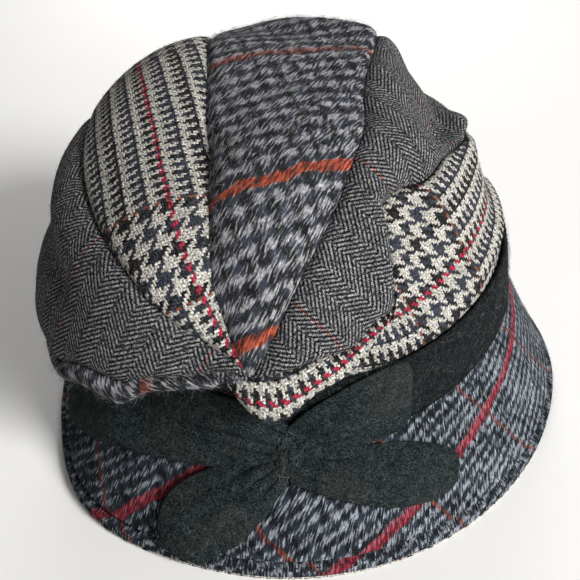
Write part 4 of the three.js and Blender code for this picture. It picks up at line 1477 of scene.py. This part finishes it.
# %% Spots for fibres
def sheet_spots(piece, count, random):
    """Evenly spread points on a sheet's outer face, with the normals there."""
    mesh = piece.data
    mesh.calc_loop_triangles()
    corners = np.zeros(len(mesh.loop_triangles) * 3, int)
    mesh.loop_triangles.foreach_get("vertices", corners)
    a, b, c = (vertex_positions(mesh)[corners.reshape(-1, 3)[:, k]] for k in range(3))
    normal = np.cross(b - a, c - a)
    size = np.linalg.norm(normal, axis=1)
    chosen = random.choice(len(size), count, p=size / size.sum())
    s, t = random.random((2, count, 1))
    s, t = np.where(s + t > 1, 1 - s, s), np.where(s + t > 1, 1 - t, t)
    spots = a[chosen] + s * (b - a)[chosen] + t * (c - a)[chosen]
    return spots, normal[chosen] / size[chosen][:, None]


print("quads on the band", len(band.data.polygons), "on the brim", len(brim.data.polygons))

# %% Fibres
FIBRE_POINTS = 7
FIBRE_FACES = np.array([
    (0, 1, 4), (0, 4, 3), (1, 2, 5), (1, 5, 4), (2, 0, 3), (2, 3, 5),
    (3, 4, 6), (4, 5, 6), (5, 3, 6), (2, 1, 0),
])
FIBRE_CURL = 0.45
FIBRE_ROOT = 0.2
FIBRE_DROOP = 0.25
TONE_POWER = 2.5


def fuzz(name, sources, count, long, lean, thick, seed, material, slot):
    random = np.random.default_rng(seed)
    areas = np.array([sum(p.area for p in s.data.polygons) for s in sources])
    shares = np.round(count * areas / areas.sum()).astype(int)
    found = [sheet_spots(s, n, random) for s, n in zip(sources, shares)]
    root, normal = (np.concatenate([f[k] for f in found]) for k in range(2))
    total = len(root)
    aside = np.cross(normal, random.normal(size=(total, 3)))
    aside /= np.linalg.norm(aside, axis=1, keepdims=True)
    other = np.cross(normal, aside)
    size = random.uniform(*long, (total, 1)) * MM
    rise = random.uniform(*lean, (total, 1))
    curl = random.normal(0, FIBRE_CURL, (total, 1))
    middle = root + size * (0.5 * aside + rise * normal * 0.6)
    end = middle + size * (0.5 * aside + curl * other + (rise - FIBRE_DROOP) * normal * 0.5)
    width = thick * MM * random.uniform(0.7, 1.2, (total, 1))
    thirds = [k * 2 * math.pi / 3 for k in range(3)]
    ring = [np.cos(third) * other + np.sin(third) * normal for third in thirds]
    points = np.stack([root - FIBRE_ROOT * MM * normal + width * r for r in ring]
                      + [middle + 0.7 * width * r for r in ring] + [end], axis=1)
    points[..., 2] = np.maximum(points[..., 2], 0)
    faces = FIBRE_FACES[None] + FIBRE_POINTS * np.arange(total)[:, None, None]
    mesh = bpy.data.meshes.new(name)
    mesh.from_pydata(points.reshape(-1, 3).tolist(), [], faces.reshape(-1, 3).tolist())
    tones = mesh.attributes.new("tone", "FLOAT", "POINT")
    tones.data.foreach_set("value", np.repeat(random.random(total) ** TONE_POWER, FIBRE_POINTS))
    mesh.materials.append(material)
    piece = bpy.data.objects.new(name, mesh)
    bpy.context.collection.objects.link(piece)
    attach(piece, "root")
    print(name, total, "fibres")


print("a fibre has", len(FIBRE_FACES), "triangles")

# %% Fibre materials
def fibre_material(name, dark, light):
    material, tree, shader = cloth_material(name)
    tone = tree.nodes.new("ShaderNodeAttribute")
    tone.attribute_name = "tone"
    feed(tree, shader.inputs["Base Color"], mixed(tree, tone.outputs["Fac"], dark, light))
    return material


plaid_fibre = fibre_material("plaid_fibre", rgb(0.014, 0.015, 0.018), rgb(0.30, 0.30, 0.32))
black_fibre = fibre_material("black_fibre", rgb(0.006, 0.009, 0.0095), rgb(0.20, 0.23, 0.225))
brim_fibre = fibre_material("brim_fibre", rgb(0.010, 0.012, 0.016), rgb(0.15, 0.17, 0.20))
tweed_fibre = fibre_material("tweed_fibre", rgb(0.02, 0.02, 0.02), rgb(0.30, 0.29, 0.27))
print("materials", [m.name for m in (plaid_fibre, black_fibre, brim_fibre, tweed_fibre)])

# %% Fuzz on the hat
plaids = [gore_pieces[n] for n in ("gore_plaid_centre", "gore_plaid_front")]
tweeds = [p for n, p in gore_pieces.items() if "plaid" not in n]
bow = [knot, *leaf_pieces]
FUZZ = [
    # name, sheets, count, length in mm, rise, thickness in mm, seed, material, slot
    ("fuzz_plaid", plaids, 16000, (1.5, 5.5), (0.15, 0.6), 0.035, 11, plaid_fibre, "brushed_plaid"),
    ("fuzz_bow", bow, 14000, (1.5, 5.0), (0.15, 0.7), 0.06, 12, black_fibre, "black_wool"),
    ("fuzz_band", [band], 7000, (1.5, 5.0), (0.1, 0.5), 0.045, 15, black_fibre, "black_wool"),
    ("fuzz_brim", [brim], 15000, (1.2, 3.2), (0.1, 0.5), 0.04, 13, brim_fibre, "brim_plaid"),
    ("fuzz_tweed", tweeds, 14000, (0.8, 2.4), (0.15, 0.6), 0.035, 14, tweed_fibre, "herringbone_tweed"),
]
for row in FUZZ:
    fuzz(*row)

# %% [markdown]
# The hat stands on a plain pale floor, one large flat grid with a faint unevenness in its
# paint. It belongs to the stage, not to the hat.

# %% Floor
FLOOR_HALF = 6.0

bm = bmesh.new()
bmesh.ops.create_grid(bm, x_segments=4, y_segments=4, size=FLOOR_HALF)
floor_mesh = bpy.data.meshes.new("floor")
bm.to_mesh(floor_mesh)
bm.free()
floor = bpy.data.objects.new("floor", floor_mesh)
bpy.context.collection.objects.link(floor)
floor_paint = bpy.data.materials.new("floor_paint")
floor_paint.use_nodes = True
tree = floor_paint.node_tree
shader = tree.nodes["Principled BSDF"]
shader.inputs["Roughness"].default_value = 0.7
shade = noise_node(tree, object_place(tree), 8.0)["Fac"]
floor_colour = mixed(tree, shade, rgb(0.80, 0.79, 0.77), rgb(0.83, 0.82, 0.80))
feed(tree, shader.inputs["Base Color"], floor_colour)
floor.data.materials.append(floor_paint)
print("floor", floor.name)
